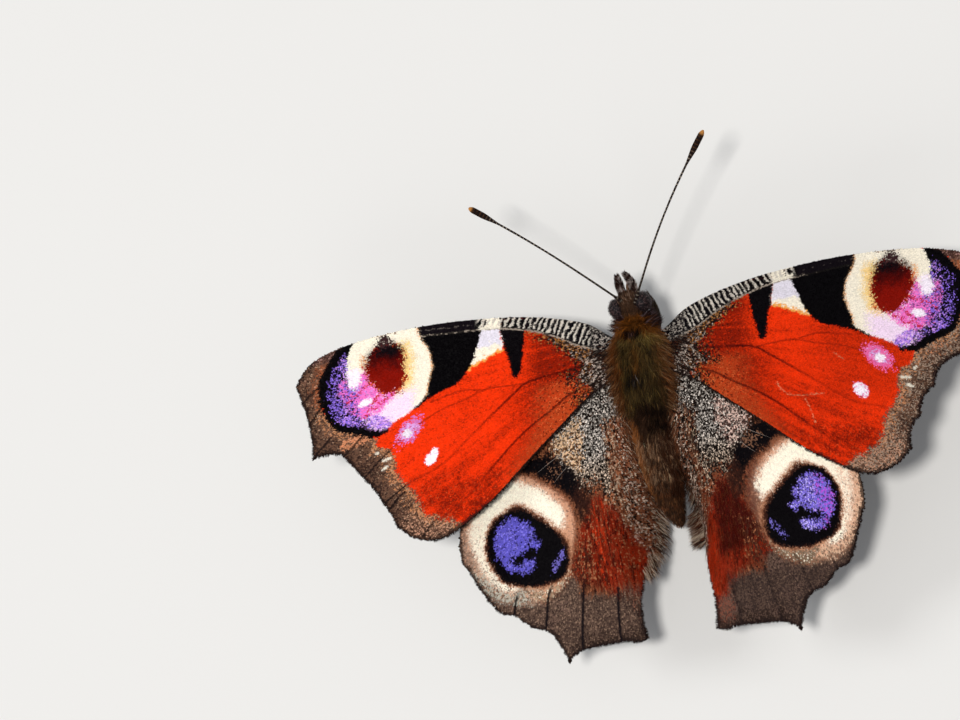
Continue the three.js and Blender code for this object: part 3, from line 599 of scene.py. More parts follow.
def hindwing_upper(p, chance, seed, deep_and_shaded=0.0):
    """Markings of the hindwing's upper side; with deep set the wing is painted darker as shade, its fan most
    of all, since it lies in less light, and its eyespot is more violet.
    """
    out, fore = p.T
    coat = Coat(p, UMBER, chance)
    grain = noise(p, 0.25, seed + 3) + noise(p, 0.6, seed + 4)
    fleck = noise(p, 0.09, seed + 26)
    fan_way = np.column_stack([out - 0.12 * (out - 2.0) * np.clip(-fore / 10, 0, 1.6), fore])
    strand = noise(fan_way, (0.13, 2.2), seed + 5) + 0.6 * noise(fan_way, (0.3, 5.0), seed + 6)
    lengthwise = (0.11, 0.32)

    # Brown inner field with rust and dark strands, painted darker on the right wing as shade
    coat.lay((60, 30, 20), np.clip(0.24 + 0.11 * deep_and_shaded + 0.33 * strand, 0, 1), mosaic=0.6)
    coat.lay((134, 52, 28), 0.3 * deep_and_shaded * ramp(-6.0, -9.0, fore), mosaic=0.6)
    coat.flecks(21, lengthwise, (160, 98, 66), 0.42 - 0.25 * deep_and_shaded, way=fan_way)
    dark_share = 0.31 + (0.14 + 0.14 * deep_and_shaded) * ramp(-9.0, -4.0, fore)
    coat.flecks(22, lengthwise, (24, 13, 10), dark_share, way=fan_way)
    pale_share = (0.24 - 0.06 * deep_and_shaded) * ramp(3.4, 2.4, out) * ramp(-14.0, -11.0, fore)
    coat.flecks(53, 0.085, (206, 178, 150), pale_share)

    # Salt and pepper toward the base and down the inner edge
    zone = ramp(1.7, 2.3, out + 0.25 * grain) * ramp(7.4, 6.4, out)
    zone = zone * ramp(-9.4, -6.4, fore - 0.25 * (out - 3.5) + 0.5 * grain)
    zone = np.maximum(zone, ramp(-2.6, -1.4, fore + 0.4 * grain) * ramp(0.2, 0.9, out))
    edge_strip = ramp(1.25, 0.85, out + 0.15 * grain + 0.02 * fore)
    edge_strip = edge_strip * ramp(-17.0, -14.5, fore) * ramp(-1.0, -2.6, fore)
    pepper = np.maximum(zone, (0.6 + 0.3 * deep_and_shaded) * edge_strip)
    coat.reroll(23)
    coat.lay((20, 13, 10), 0.93 * pepper)
    coat.reroll(24, 0.065)
    warm = ramp(-4.0, -7.0, fore)[:, None]
    salt = srgb(238, 226, 214) * (1 - 0.55 * warm) + srgb(218, 176, 134) * 0.55 * warm
    coat.lay(salt, (0.27 - 0.06 * deep_and_shaded) * zone)
    coat.flecks(36, 0.075, salt * 0.42, 0.24 * zone)
    coat.flecks(25, (0.085, 0.13), (214, 190, 170), 0.24 * edge_strip, way=fan_way)
    coat.flecks(54, 0.1, (128, 74, 50), (0.4 - 0.15 * deep_and_shaded) * edge_strip)
    shoulder = shape(p, PALE_SHOULDER, 0.55, 0.35, seed + 7)
    coat.flecks(26, 0.085, srgb(112, 76, 50) * (1 - deep_and_shaded) + srgb(84, 60, 54) * deep_and_shaded, 0.5 * shoulder)
    shoulder_colour = srgb(226, 190, 152) * (1 - deep_and_shaded) + srgb(214, 182, 168) * deep_and_shaded
    coat.flecks(27, 0.085, shoulder_colour, (0.42 - 0.04 * deep_and_shaded) * shoulder)

    # Grey-brown hind part and dark edge
    coat.reroll(3)
    tail = ramp(-16.6, -18.2, fore + 0.12 * strand + 0.1 * (out - 4.0) * (out < 4))
    rim = ramp(-14.9, -16.0, fore - 0.2 * (out - 7.0) * (out > 7)) * ramp(6.0, 7.0, out)
    edge_side = ramp(15.7, 16.4, out + 0.1 * fleck)
    brown = np.maximum(tail, np.maximum(rim, edge_side))
    coat.lay(SLATE, brown, mosaic=0.7)
    cloud = noise(p, 1.4, seed + 31) + 0.6 * noise(p, 0.6, seed + 32)
    coat.lay((64, 48, 42), brown * np.clip(0.1 + 0.35 * cloud, 0, 1), mosaic=0.4)
    coat.lay((120, 92, 82), brown * np.clip(-0.35 * cloud, 0, 1), mosaic=0.4)
    coat.flecks(28, 0.1, (58, 43, 37), 0.38 * brown)
    coat.flecks(29, 0.085, (138, 110, 92), (0.22 - 0.1 * deep_and_shaded) * brown)
    coat.flecks(55, 0.08, (176, 142, 120), 0.06 * brown)
    # Painted shade: the right wing is darker toward its tail.
    coat.lay((44, 33, 32), 0.42 * deep_and_shaded * ramp(-16.4, -17.6, fore) * brown, mosaic=0.5)
    coat.lay((150, 98, 78), 0.3 * tail * ramp(3.0, 1.0, out) * ramp(-21.0, -19.5, fore))
    coat.lay(DUSK * 0.8, 0.6 * ramp(-19.8, -21.8, fore + 0.3 * grain) * ramp(9.4, 7.0, out), mosaic=0.6)
    coat.lay((126, 74, 58), 0.5 * deep_and_shaded * tail * ramp(3.6, 2.4, out) * ramp(-22.4, -20.2, fore), mosaic=0.7)

    # Fox-red fan of hairs
    coat.reroll(4, (0.09, 0.7), fan_way)
    fan = shape(p, DEEP_FAN if deep_and_shaded else RED_FAN, 0.4, 0.3, seed + 8)
    plain_end = np.interp(out, (3.0, 8.0), (-17.0, -15.8))
    deep_end = np.interp(out, (0.5, 2.8, 4.0, 6.0), (-20.6, -18.4, -17.2, -16.6))
    end = plain_end * (1 - deep_and_shaded) + deep_end * deep_and_shaded
    fan = fan * ramp(-1.3, 1.3, fore - end + 0.5 * strand)
    coat.lay(FOX, fan * np.clip(1.0 + 0.2 * strand, 0, 1), mosaic=0.4)
    coat.lay((66, 11, 5), fan * (0.32 - 0.12 * deep_and_shaded))
    # Painted shade: a dark maroon core in the right wing's fan.
    core = deep_and_shaded * ramp(2.0, 3.2, out + 0.4 * strand) * ramp(-16.0, -14.2, fore - 0.4 * (out - 4.0))
    coat.lay((52, 8, 5), 0.85 * fan * core, mosaic=0.4)
    coat.reroll(30, (0.09, 0.9), fan_way)
    bright = (1 - deep_and_shaded) * ramp(2.6, 3.4, out) * ramp(4.8, 4.2, out)
    bright = bright + ramp(2.8, 1.0, out) * (0.4 + 0.8 * deep_and_shaded) * ramp(-12.0, -14.5, fore)
    coat.lay((184, 50, 18), (0.28 + 0.25 * deep_and_shaded) * fan * np.clip(bright, 0, 1), mosaic=1 - 0.5 * deep_and_shaded)
    dull = ramp(4.3, 5.2, out) * ramp(-11.5, -13.0, fore)
    coat.flecks(31, (0.12, 0.2), (70, 34, 24), 0.55 * fan * dull, way=fan_way)
    coat.flecks(32, (0.1, 0.2), (176, 112, 76), (0.16 - 0.1 * deep_and_shaded) * fan + 0.12 * fan * dull, way=fan_way)

    # Black smudge, pale ring, black disc and blue scales
    coat.reroll(5)
    soft_smudge = shape(p, SMUDGE, 0.75, 0.3, seed + 9)
    coat.lay((40, 20, 14), 0.9 * soft_smudge, mosaic=0.6)
    coat.lay(INK, shape(p, SMUDGE, 0.4, 0.3, seed + 9), mosaic=0.5)
    coat.reroll(65, 0.085)
    gap = oval(p, (6.9, -5.5), (0.9, 0.75)) + 0.2 * grain
    coat.lay((122, 86, 66), (0.22 + 0.2 * deep_and_shaded) * soft_smudge * ramp(1.5, 0.6, gap) + 0.06 * soft_smudge)
    left = oval(p, (4.9, -9.0), (0.9, 1.9))
    coat.lay((48, 24, 17), 0.75 * ramp(1.3, 0.5, left + 0.2 * grain), mosaic=0.6)
    ring = shape(p, RING, 0.45, 0.22, seed + 10)
    coat.reroll(33, 0.095)
    body_side = ramp(7.6, 6.4, out + 0.3 * grain)
    coat.lay((142, 86, 60), 0.95 * ring, mosaic=0.5)
    ring_depth = depth_in(p, RING_OUTLINE, 3.0)
    pale_ring = ring * ramp(-0.05 + 0.15 * deep_and_shaded, 0.5 + 0.2 * deep_and_shaded, ring_depth)
    coat.lay((216, 162, 130), 0.88 * pale_ring, mosaic=0.5)
    # Painted shade: on the right wing the ring is darker toward the body.
    coat.lay((92, 50, 40), 0.75 * deep_and_shaded * ring * body_side, mosaic=0.5)
    white = shape(p, RING_WHITE, 0.5, 0.18, seed + 15)
    coat.reroll(34, 0.09)
    coat.lay(CREAM, white, mosaic=0.5)
    outer = ramp(1.5, 3.5, 0.8 * (out - 10.9) - 0.6 * (fore + 12.3)) * ring * (1 - white)
    coat.lay((184, 184, 170), 0.75 * (1 - deep_and_shaded) * outer * ramp(-12.0, -14.5, fore), mosaic=0.6)
    coat.lay((146, 120, 104), 0.65 * (1 - deep_and_shaded) * outer * ramp(-14.5, -12.5, fore), mosaic=0.6)
    coat.lay((226, 190, 160), 0.6 * deep_and_shaded * outer, mosaic=0.6)
    coat.lay((230, 190, 162), (0.16 + 0.3 * deep_and_shaded) * white * ramp(13.4, 15.0, out), mosaic=0.6)
    bottom_left = ramp(12.2, 10.6, out) * ramp(-14.0, -15.4, fore) * ring
    coat.lay(srgb(176, 146, 118) * (1 - 0.5 * deep_and_shaded), (0.7 + 0.15 * deep_and_shaded) * bottom_left)
    coat.lay((232, 220, 198), 0.2 * bottom_left)
    coat.flecks(56, 0.08, (104, 84, 68), 0.22 * ring * ramp(-13.6, -15.4, fore))
    coat.flecks(35, 0.095, (122, 92, 76), 0.22 * ring * (1 - 0.7 * white))
    coat.lay((150, 120, 100), 0.16 * white * ramp(-9.0, -11.0, fore))
    coat.reroll(6)
    outside = -depth_in(p, DISC_OUTLINE, 3.0) + 0.1 * grain + 0.1 * fleck
    wide = 0.45 + 0.45 * ramp(13.4, 10.4, out) * ramp(-14.6, -12.8, fore)
    coat.lay((196, 142, 108), 0.8 * ring * ramp(1.1, 0.35, outside / wide), mosaic=0.5)
    coat.lay((120, 70, 48), 0.85 * ramp(0.75, 0.2, outside / wide), mosaic=0.5)
    coat.lay((44, 20, 14), 0.9 * ramp(0.45, 0.05, outside / wide), mosaic=0.5)
    coat.lay(INK * 0.8, shape(p, DISC, 0.16, 0.16, seed + 12), mosaic=0.8)
    blue_colour = BLUEBELL * (1 - 0.5 * deep_and_shaded) + srgb(136, 112, 216) * 0.5 * deep_and_shaded
    for number, area in enumerate(BLUE_AREAS):
        edge, density = (0.4, 0.82) if number == 0 else (0.22, 0.66)
        blue = shape(p, area, edge, 0.2, seed + 13 + number)
        coat.flecks(7 + number, 0.09, blue_colour, blue * density)
        coat.flecks(17 + number, 0.085, (146, 134, 238), 0.2 * blue)
        coat.flecks(57 + number, 0.085, (34, 28, 74), (0.16 + 0.1 * deep_and_shaded) * blue)
        coat.flecks(64 + number, 0.085, (200, 184, 248), deep_and_shaded * 0.24 * blue)
        coat.lay((190, 84, 214), deep_and_shaded * 0.34 * blue * ramp(11.0, 13.0, out))
    coat.flecks(10, 0.085, (112, 102, 186), (0.66 - 0.28 * deep_and_shaded) * shape(p, CRESCENT, 0.16, 0.1, seed + 14))

    coat.reroll(9)
    away = ramp(-0.1, -0.5, depth_in(p, DISC_OUTLINE, 3.0))
    veins = vein_share(p, HIND_VEINS, 0.1) * away * ramp(-15.0, -16.2, fore + 0.1 * (out - 6.0))
    coat.lay(INK * 2, (0.95 - 0.5 * deep_and_shaded) * veins, mosaic=0.2)
    return coat.colour * (1 + 0.22 * (chance[:, None] - 0.5))


RING_OUTLINE = smooth_curve(RING, 100, closed=True)
DISC_OUTLINE = smooth_curve(DISC, 90, closed=True)


# Wing shapes, as in the CAD
FOREWING = {
    "hinge": (2.45, -1.3, 0.6),
    "pitch": math.radians(15.4),
    "dihedral": math.radians(2.6),
    "arch": {"rise": 0.2, "depth": 0.45, "crest": -3, "chord": 9},
    "hub": (12, 1),
    "front": [
        (-0.6, 0.9), (0.4, 1.6), (2.9, 3.2), (8.5, 4.6), (16.1, 5.25),
        (22.8, 5.0), (26.9, 4.25), (29.2, 3.15), (30.55, 1.2),
    ],
    "vein_ends": [
        (30.55, 1.2), (29.5, -2.75), (29.35, -5.85), (26.5, -5.9), (24.9, -8.0), (23.2, -10.5),
        (22.0, -13.2),
    ],
    "bays": {"left": (0.1, 0.05, 0.5, 0.05, 0.1, 0.1), "right": (0.1, 0.3, 0.6, 0.55, 0.55, 0.5)},
    "rear": [
        (22.0, -13.2), (20.4, -14.6), (18.2, -15.15), (15.8, -14.4), (12.2, -12.1),
        (8.45, -8.95), (4.75, -5.95), (2.3, -4.0), (-0.6, -2.4),
    ],
}
HINDWING = {
    "hinge": (2.28, 2.85),
    "height": 2.42,
    "rise": 0.0175,
    "under_forewing": 0.72,
    "blend": 0.6,
    "front": [
        (-0.6, 2.2), (1.5, 2.4), (5.0, 1.8), (9.5, -0.2), (13.4, -3.6), (15.8, -7.6), (16.7, -10.8),
        (16.6, -13.3),
    ],
    "outer": [
        (16.6, -13.3), (15.5, -16.05), (14.3, -17.9), (13.0, -18.5), (11.7, -19.7),
        (10.4, -20.2), (9.6, -21.3), (8.75, -23.45),
    ],
    "tail": [(8.75, -23.45), (7.7, -22.65), (6.4, -22.35), (3.5, -22.2), (1.7, -22.4), (0.75, -22.1)],
    "inner": [
        (0.75, -22.1), (0.95, -19.4), (0.6, -17.1), (0.15, -15.6), (-0.35, -14.0),
        (-0.7, -11.5), (-0.7, -8.5), (-0.5, -5.5), (-0.3, -3.0), (-0.6, 0.0),
    ],
    "fold": {"start": 5.2, "width": 3.0, "depth": 4.8, "centre": 16.3, "before": 6.2, "after": 4.2},
    "upturn": {"start": 12.5, "width": 6.5, "height": 1.7},
}
MEMBRANE = 0.12
FRINGE = 0.34
PLAIN_EDGE = 0.06
OUTLINE_STEP = 0.2
SHEET_PITCH = 0.24
SCALE = {"long": 0.26, "broad": 0.15}
SCALE_ROWS = {"scales": {"pitch": 0.108, "size": 0.86}, "under_scales": {"pitch": 0.2, "size": 1.5}}
FRINGE_STRANDS = 2900
NO_VEIN = 9.0
SLOPE_STEP = 0.02
MAP_CORNER = (1.5, 24.5)
MAP_SPAN = 34.0
VEIN = {"height": 0.06, "half_width": 0.12, "sag": 0.2, "sag_reach": 1.3}
LIE_ROOT = {"forewing": (-5.0, 2.5), "hindwing": (1.5, 7.0)}
WING_HAIRS = {
    "forewing": {
        "low": (-0.4, -4.6), "high": (4.6, 0.6), "tries": 1500, "margin": 0.15, "length": 0.6, "lean": 0.12,
    },
    "hindwing": {
        "low": (-0.9, -18.5), "high": (7.0, -0.5), "tries": 7500, "margin": 0.12, "length": 0.95, "lean": 0.1,
    },
}
INNER_HAIRS = {
    "left": {"end": -16.2, "count": 1900, "inward": 0.38, "length": 1.0},
    "right": {"end": -14.3, "count": 2500, "inward": 0.75, "length": 1.3},
}
STRAY_HAIRS = [((6.3, -4.4), (9.0, -5.9)), ((6.0, -5.7), (7.3, -6.9))]


def bayed_curve(ends, depths, hub, steps):
    """A margin scalloped between the ends of the veins."""
    points = []
    for start, end, depth in zip(ends[:-1], ends[1:], depths):
        start, end = np.array(start), np.array(end)
        middle = (start + end) / 2
        inward = np.array(hub) - middle
        pull = middle + 2 * depth * inward / np.linalg.norm(inward)
        t = np.linspace(0, 1, steps + 1)[:, None]
        points.append((1 - t) ** 2 * start + 2 * t * (1 - t) * pull + t * t * end)
    return np.vstack(points)


def even_spacing(points, step):
    """The same line with its points an even step apart."""
    lengths = np.linalg.norm(np.diff(points, axis=0), axis=1)
    along = np.concatenate([[0], np.cumsum(lengths)])
    places = np.linspace(0, along[-1], max(2, int(round(along[-1] / step)) + 1))
    return np.column_stack([np.interp(places, along, points[:, axis]) for axis in range(points.shape[1])])


def forewing_height(x, y):
    hinge_x, hinge_y, hinge_z = FOREWING["hinge"]
    arch = FOREWING["arch"]
    fore = hinge_y - y
    slope = math.tan(FOREWING["dihedral"]) * (np.abs(x) - hinge_x) - math.tan(FOREWING["pitch"]) * fore
    return hinge_z + slope + arch["rise"] - arch["depth"] * ((fore - arch["crest"]) / arch["chord"]) ** 2


def hindwing_height(x, y):
    fold, upturn, blend = HINDWING["fold"], HINDWING["upturn"], HINDWING["blend"]
    outward = np.clip((np.abs(x) - upturn["start"]) / upturn["width"], 0, 1.2)
    level = HINDWING["height"] - HINDWING["rise"] * y + upturn["height"] * outward**2
    under = forewing_height(x, y) - HINDWING["under_forewing"]
    sheet = -blend * np.logaddexp(-level / blend, -under / blend)
    reach = np.clip((fold["start"] - np.abs(x)) / fold["width"], 0, 1.2)
    length = np.where(y < fold["centre"], fold["before"], fold["after"])
    return sheet - fold["depth"] * np.exp(-(((y - fold["centre"]) / length) ** 2)) * reach**2


class Wing:
    """One wing: its flat outline, and how a flat place lies on the bent sheet."""

    def __init__(self, kind, side):
        self.kind = kind
        self.side = side
        self.sign = SIDES[side]
        self.veins = FORE_VEINS if kind == "forewing" else HIND_VEINS
        if kind == "forewing":
            plain = [smooth_curve(FOREWING["front"], 120)]
            bays = bayed_curve(FOREWING["vein_ends"], FOREWING["bays"][side], FOREWING["hub"], 16)
            fringed = [bays, smooth_curve(FOREWING["rear"], 120)]
        else:
            plain = [smooth_curve(HINDWING["front"], 120)]
            fringed = [smooth_curve(HINDWING[edge], 120) for edge in ("outer", "tail", "inner")]
        plain = even_spacing(np.vstack(plain), OUTLINE_STEP)
        fringed = even_spacing(np.vstack(fringed), OUTLINE_STEP)
        self.outline = np.vstack([plain[:-1], fringed])
        run = np.roll(self.outline, -1, axis=0) - np.roll(self.outline, 1, axis=0)
        self.outward = unit(np.column_stack([-run[:, 1], run[:, 0]]))
        self.fringe = np.full(len(self.outline), FRINGE)
        self.fringe[: len(plain) - 1] = PLAIN_EDGE
        self.hem = self.outline - self.outward * self.fringe[:, None]

    def plan(self, places):
        """The level frame's two flat axes for places on the wing."""
        out, fore = places.T
        if self.kind == "forewing":
            hinge = FOREWING["hinge"]
            x = hinge[0] + out * math.cos(FOREWING["dihedral"])
            return self.sign * x, hinge[1] - fore * math.cos(FOREWING["pitch"])
        return self.sign * (HINDWING["hinge"][0] + out), HINDWING["hinge"][1] - fore

    def relief(self, places):
        """Raised veins, with the sheet sagging a little between them."""
        nearest = np.full(len(places), NO_VEIN)
        for vein in self.veins:
            nearest = np.minimum(nearest, path_distance(places, smooth_curve(vein, 30), 4.0)[0])
        ridge = VEIN["height"] * np.exp(-((nearest / VEIN["half_width"]) ** 2))
        return ridge + VEIN["sag"] * (np.exp(-nearest / VEIN["sag_reach"]) - 0.6)

    def place(self, places, lift=0.0):
        """Points on the bent sheet, lifted along its normal, in the insect's level frame."""
        x, y = self.plan(places)
        height = forewing_height if self.kind == "forewing" else hindwing_height
        z = height(x, y)
        slope_x = (height(x + SLOPE_STEP, y) - z) / SLOPE_STEP
        slope_y = (height(x, y + SLOPE_STEP) - z) / SLOPE_STEP
        normal = unit(np.column_stack([-slope_x, -slope_y, np.ones(len(x))]))
        return np.column_stack([x, y, z]) + normal * np.broadcast_to(lift, len(x))[:, None]

    def bake_spot(self, places):
        """Place on the flat unwrap, for the bake map."""
        return (places + MAP_CORNER) / MAP_SPAN

    def lie(self, places):
        """Direction in which scales and hairs point: away from the root of the wing."""
        return unit(places - LIE_ROOT[self.kind])


# Mesh helpers
def stand(points):
    """From the insect's level frame in millimetres to the standing frame in metres."""
    x, y, z = np.asarray(points, float).T
    c, s = math.cos(HEAD_UP), math.sin(HEAD_UP)
    return np.column_stack([x, y * c + z * s + SHIFT_TO_CENTRE, BODY_HEIGHT - y * s + z * c]) * MM


def add_piece(name, points, faces, material, colours=None, spots=None, replaces=(), smooth=True):
    """A mesh piece from points in metres; colours and bake spots are given for each point."""
    mesh = bpy.data.meshes.new(name)
    faces = np.ascontiguousarray(facing_out(points, np.asarray(faces, np.int32)))
    corners = faces.ravel()
    mesh.vertices.add(len(points))
    mesh.vertices.foreach_set("co", np.asarray(points, np.float32).ravel())
    mesh.loops.add(len(corners))
    mesh.loops.foreach_set("vertex_index", corners)
    mesh.polygons.add(len(faces))
    mesh.polygons.foreach_set("loop_start", np.arange(0, len(corners), faces.shape[1], dtype=np.int32))
    mesh.polygons.foreach_set("use_smooth", np.full(len(faces), smooth))
    mesh.update(calc_edges=True)
    if colours is not None:
        layer = mesh.color_attributes.new("coat", "FLOAT_COLOR", "POINT")
        rgba = np.ones((len(points), 4), np.float32)
        rgba[:, :3] = np.clip(colours, 0, 1)
        layer.data.foreach_set("color", rgba.ravel())
    if spots is not None:
        layer = mesh.uv_layers.new(name="OFBake")
        layer.data.foreach_set("uv", np.asarray(spots, np.float32)[corners].ravel())
    mesh.materials.append(material)
    piece = bpy.data.objects.new(name, mesh)
    bpy.context.collection.objects.link(piece)
    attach(piece, "root")
    if replaces:
        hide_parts(*replaces)
    return piece


def facing_out(points, faces):
    """Turns the triangles of closed bodies so that they point out."""
    a, b, c = (points[faces[:, k]] for k in range(3))
    volume = np.einsum("ij,ij->", a - points.mean(0), np.cross(b - a, c - a))
    return faces[:, ::-1] if volume < 0 else faces


TUFT_SPOT = 0.0014
NEAR_UPRIGHT = np.array([0.13, 0.21, 0.97])
TIP_TAPER = 0.55


def turned(ways, angles):
    """Flat directions, each turned by its angle."""
    return np.column_stack([
        ways[:, 0] * np.cos(angles) - ways[:, 1] * np.sin(angles),
        ways[:, 0] * np.sin(angles) + ways[:, 1] * np.cos(angles),
    ])


def across_of(ways):
    return np.column_stack([-ways[:, 1], ways[:, 0]])


def lay_scales(name, wing, places, colours, upper, rng, material, long, broad):
    """Each scale is a thin closed wedge: rooted in the sheet, with its broad tip a little raised."""
    count = len(places)
    lie = turned(wing.lie(places), rng.normal(0, 0.16, count))
    across = across_of(lie)
    length = long * rng.uniform(0.85, 1.15, count)[:, None]
    half = broad / 2 * rng.uniform(0.85, 1.15, count)[:, None]
    base = wing.relief(places)
    sheet = MEMBRANE / 2
    tip_lift = rng.uniform(0.03, 0.08, count)
    turn_up = rng.normal(0, 0.012, count)
    way = 1.0 if upper else -1.0
    corners = [
        (places - lie * 0.35 * length, sheet - 0.004),
        (places + lie * 0.65 * length + across * half, sheet + tip_lift + turn_up),
        (places + lie * 0.65 * length - across * half, sheet + tip_lift - turn_up),
        (places + lie * 0.45 * length, sheet + tip_lift * 0.4 - 0.012),
    ]
    points = np.stack([wing.place(spot, base + way * lift) for spot, lift in corners], axis=1)
    spot = wing.bake_spot(places)
    ahead, aside = lie * TUFT_SPOT, across * TUFT_SPOT
    spots = np.stack([spot - ahead, spot + ahead + aside, spot + ahead - aside, spot + ahead * 0.4], axis=1)
    order = np.array([(0, 2, 1), (0, 1, 3), (0, 3, 2), (1, 2, 3)])
    faces = (np.arange(count)[:, None, None] * 4 + order).reshape(-1, 3)
    points = stand(points.reshape(-1, 3))
    return add_piece(
        name, points, faces, material,
        np.repeat(colours, 4, axis=0), spots.reshape(-1, 2), smooth=False,
    )


def lay_strands(name, roots, lines, thick, colours, spots, material, level=True):
    """Closed three-sided hairs. lines holds each hair's points after its root, in millimetres:
    an array of hairs by points by axes. All the points of a hair share one patch of the bake map."""
    count, steps, _ = lines.shape
    thick = np.broadcast_to(thick, count)
    path = np.concatenate([roots[:, None], lines], axis=1)
    way = path[:, 1:] - path[:, :-1]
    way = unit(np.concatenate([way, way[:, -1:]], axis=1), TINY)
    side = unit(np.cross(way, NEAR_UPRIGHT), TINY)
    up = np.cross(side, way)
    taper = np.linspace(1.0, TIP_TAPER, steps)
    points, patch = [], []
    for k in range(steps):
        for angle in (math.radians(90), math.radians(210), math.radians(330)):
            offset = side[:, k] * math.cos(angle) + up[:, k] * math.sin(angle)
            points.append(path[:, k] + offset * (thick * taper[k])[:, None])
            turn = np.array([math.cos(angle), math.sin(angle)]) * TUFT_SPOT * (1 - 0.6 * k / steps)
            patch.append(spots + turn)
    points.append(path[:, -1])
    patch.append(spots + TUFT_SPOT * 0.1)
    faces = [(0, 2, 1)]
    for k in range(steps - 1):
        for a in range(3):
            b = (a + 1) % 3
            low, high = 3 * k, 3 * k + 3
            faces += [(low + a, low + b, high + b), (low + a, high + b, high + a)]
    last = 3 * steps
    faces += [(last - 3 + a, last - 3 + (a + 1) % 3, last) for a in range(3)]
    each = last + 1
    points = np.stack(points, axis=1).reshape(-1, 3)
    faces = (np.arange(count)[:, None, None] * each + np.array(faces)).reshape(-1, 3)
    points = stand(points) if level else points * MM
    return add_piece(
        name, points, faces, material, np.repeat(colours, each, axis=0),
        np.stack(patch, axis=1).reshape(-1, 2), smooth=False,
    )


# Materials
def new_material(name, roughness, specular=0.3):
    material = bpy.data.materials.new(name)
    material.use_nodes = True
    tree = material.node_tree
    shader = tree.nodes["Principled BSDF"]
    shader.inputs["Roughness"].default_value = roughness
    shader.inputs["Specular IOR Level"].default_value = specular
    return material, tree, shader


def add_node(tree, kind, **values):
    node = tree.nodes.new("ShaderNode" + kind)
    for name, value in values.items():
        node.inputs[name.replace("_", " ")].default_value = value
    return node


def add_bump(tree, shader, height, strength, distance):
    bump = add_node(tree, "Bump", Strength=strength, Distance=distance)
    tree.links.new(height, bump.inputs["Height"])
    tree.links.new(bump.outputs["Normal"], shader.inputs["Normal"])
    return bump


def coat_material(name, roughness, specular, mottle, bump=0.0, size=9000.0):
    """Colour from the markings held in the mesh, varied a little by noise, with an optional fine bump."""
    material, tree, shader = new_material(name, roughness, specular)
    marks = tree.nodes.new("ShaderNodeAttribute")
    marks.attribute_name = "coat"
    spot = tree.nodes.new("ShaderNodeTexCoord")
    fine = add_node(tree, "TexNoise", Scale=size, Detail=3)
    tree.links.new(spot.outputs["Object"], fine.inputs["Vector"])
    spread = add_node(tree, "MapRange", To_Min=1 - mottle, To_Max=1 + mottle)
    tree.links.new(fine.outputs["Fac"], spread.inputs["Value"])
    tone = tree.nodes.new("ShaderNodeVectorMath")
    tone.operation = "SCALE"
    tree.links.new(marks.outputs["Color"], tone.inputs[0])
    tree.links.new(spread.outputs["Result"], tone.inputs["Scale"])
    tree.links.new(tone.outputs["Vector"], shader.inputs["Base Color"])
    if bump:
        add_bump(tree, shader, fine.outputs["Fac"], bump, 0.00003)
    return material


SCALE_MATERIAL = coat_material("wing_scales", roughness=0.5, specular=0.03, mottle=0.12)
SHEET_MATERIAL = coat_material("wing_membrane", 0.8, 0.03, mottle=0.15, bump=0.5, size=12000.0)
HAIR_MATERIAL = coat_material("hair", roughness=0.45, specular=0.1, mottle=0.15)
SKIN_MATERIAL = coat_material("skin", 0.8, 0.04, mottle=0.25, bump=0.6, size=7000.0)


# Wings: a thin veined sheet, scales on both faces, a fringe along the hem
STAGGER = 0.866
HAIR_BENDS = (0.4, 0.75, 1.0)


def inner_places(outline, pitch, rng, jitter, margin):
    """Places inside an outline in staggered rows, shifted a little at random."""
    low, high = outline.min(0), outline.max(0)
    rows = np.arange(low[1], high[1], pitch * STAGGER)
    places = []
    for k, row in enumerate(rows):
        line = np.arange(low[0] + (k % 2) * pitch / 2, high[0], pitch)
        places.append(np.column_stack([line, np.full(len(line), row)]))
    places = np.vstack(places)
    places += rng.uniform(-jitter, jitter, places.shape) * pitch
    return places[depth_in(places, outline, 1.0) > margin]


def wing_sheet(wing, rng):
    """The membrane with its veins: a meshed upper and lower face, walled along the hem."""
    inside = inner_places(wing.hem, SHEET_PITCH, rng, 0.15, SHEET_PITCH * 0.55)
    places = np.vstack([wing.hem, inside])
    rim = len(wing.hem)
    edges = [(k, (k + 1) % rim) for k in range(rim)]
    spots = [Vector((float(x), float(y))) for x, y in places]
    flat, _, triangles, *_ = delaunay_2d_cdt(spots, edges, [], 1, 1e-6)
    flat = np.array([tuple(v) for v in flat])
    triangles = np.array([list(t) for t in triangles])
    lift = wing.relief(flat)
    chance = rng.random(len(flat))
    top = wing.place(flat, lift + MEMBRANE / 2)
    low = wing.place(flat, lift - MEMBRANE / 2)
    count = len(flat)
    ways = np.vstack([triangles[:, (0, 1)], triangles[:, (1, 2)], triangles[:, (2, 0)]])
    _, first, times = np.unique(np.sort(ways, axis=1), axis=0, return_index=True, return_counts=True)
    a, b = ways[first[times == 1]].T
    walls = np.vstack([np.column_stack([b, a, a + count]), np.column_stack([b, a + count, b + count])])
    faces = np.vstack([triangles, triangles[:, ::-1] + count, walls])
    upper = UPPER_PAINT[wing.kind](flat, chance, wing)
    under = under_paint(flat, chance, wing)
    half_map = wing.bake_spot(flat) * (0.5, 1)
    spots = np.vstack([half_map, half_map + (0.5, 0)])
    add_piece(
        f"{wing.kind}_sheet_{wing.side}", stand(np.vstack([top, low])), faces, SHEET_MATERIAL,
        np.vstack([upper * 0.8, under]), spots, replaces=[f"{wing.kind}_{wing.side}"],
    )


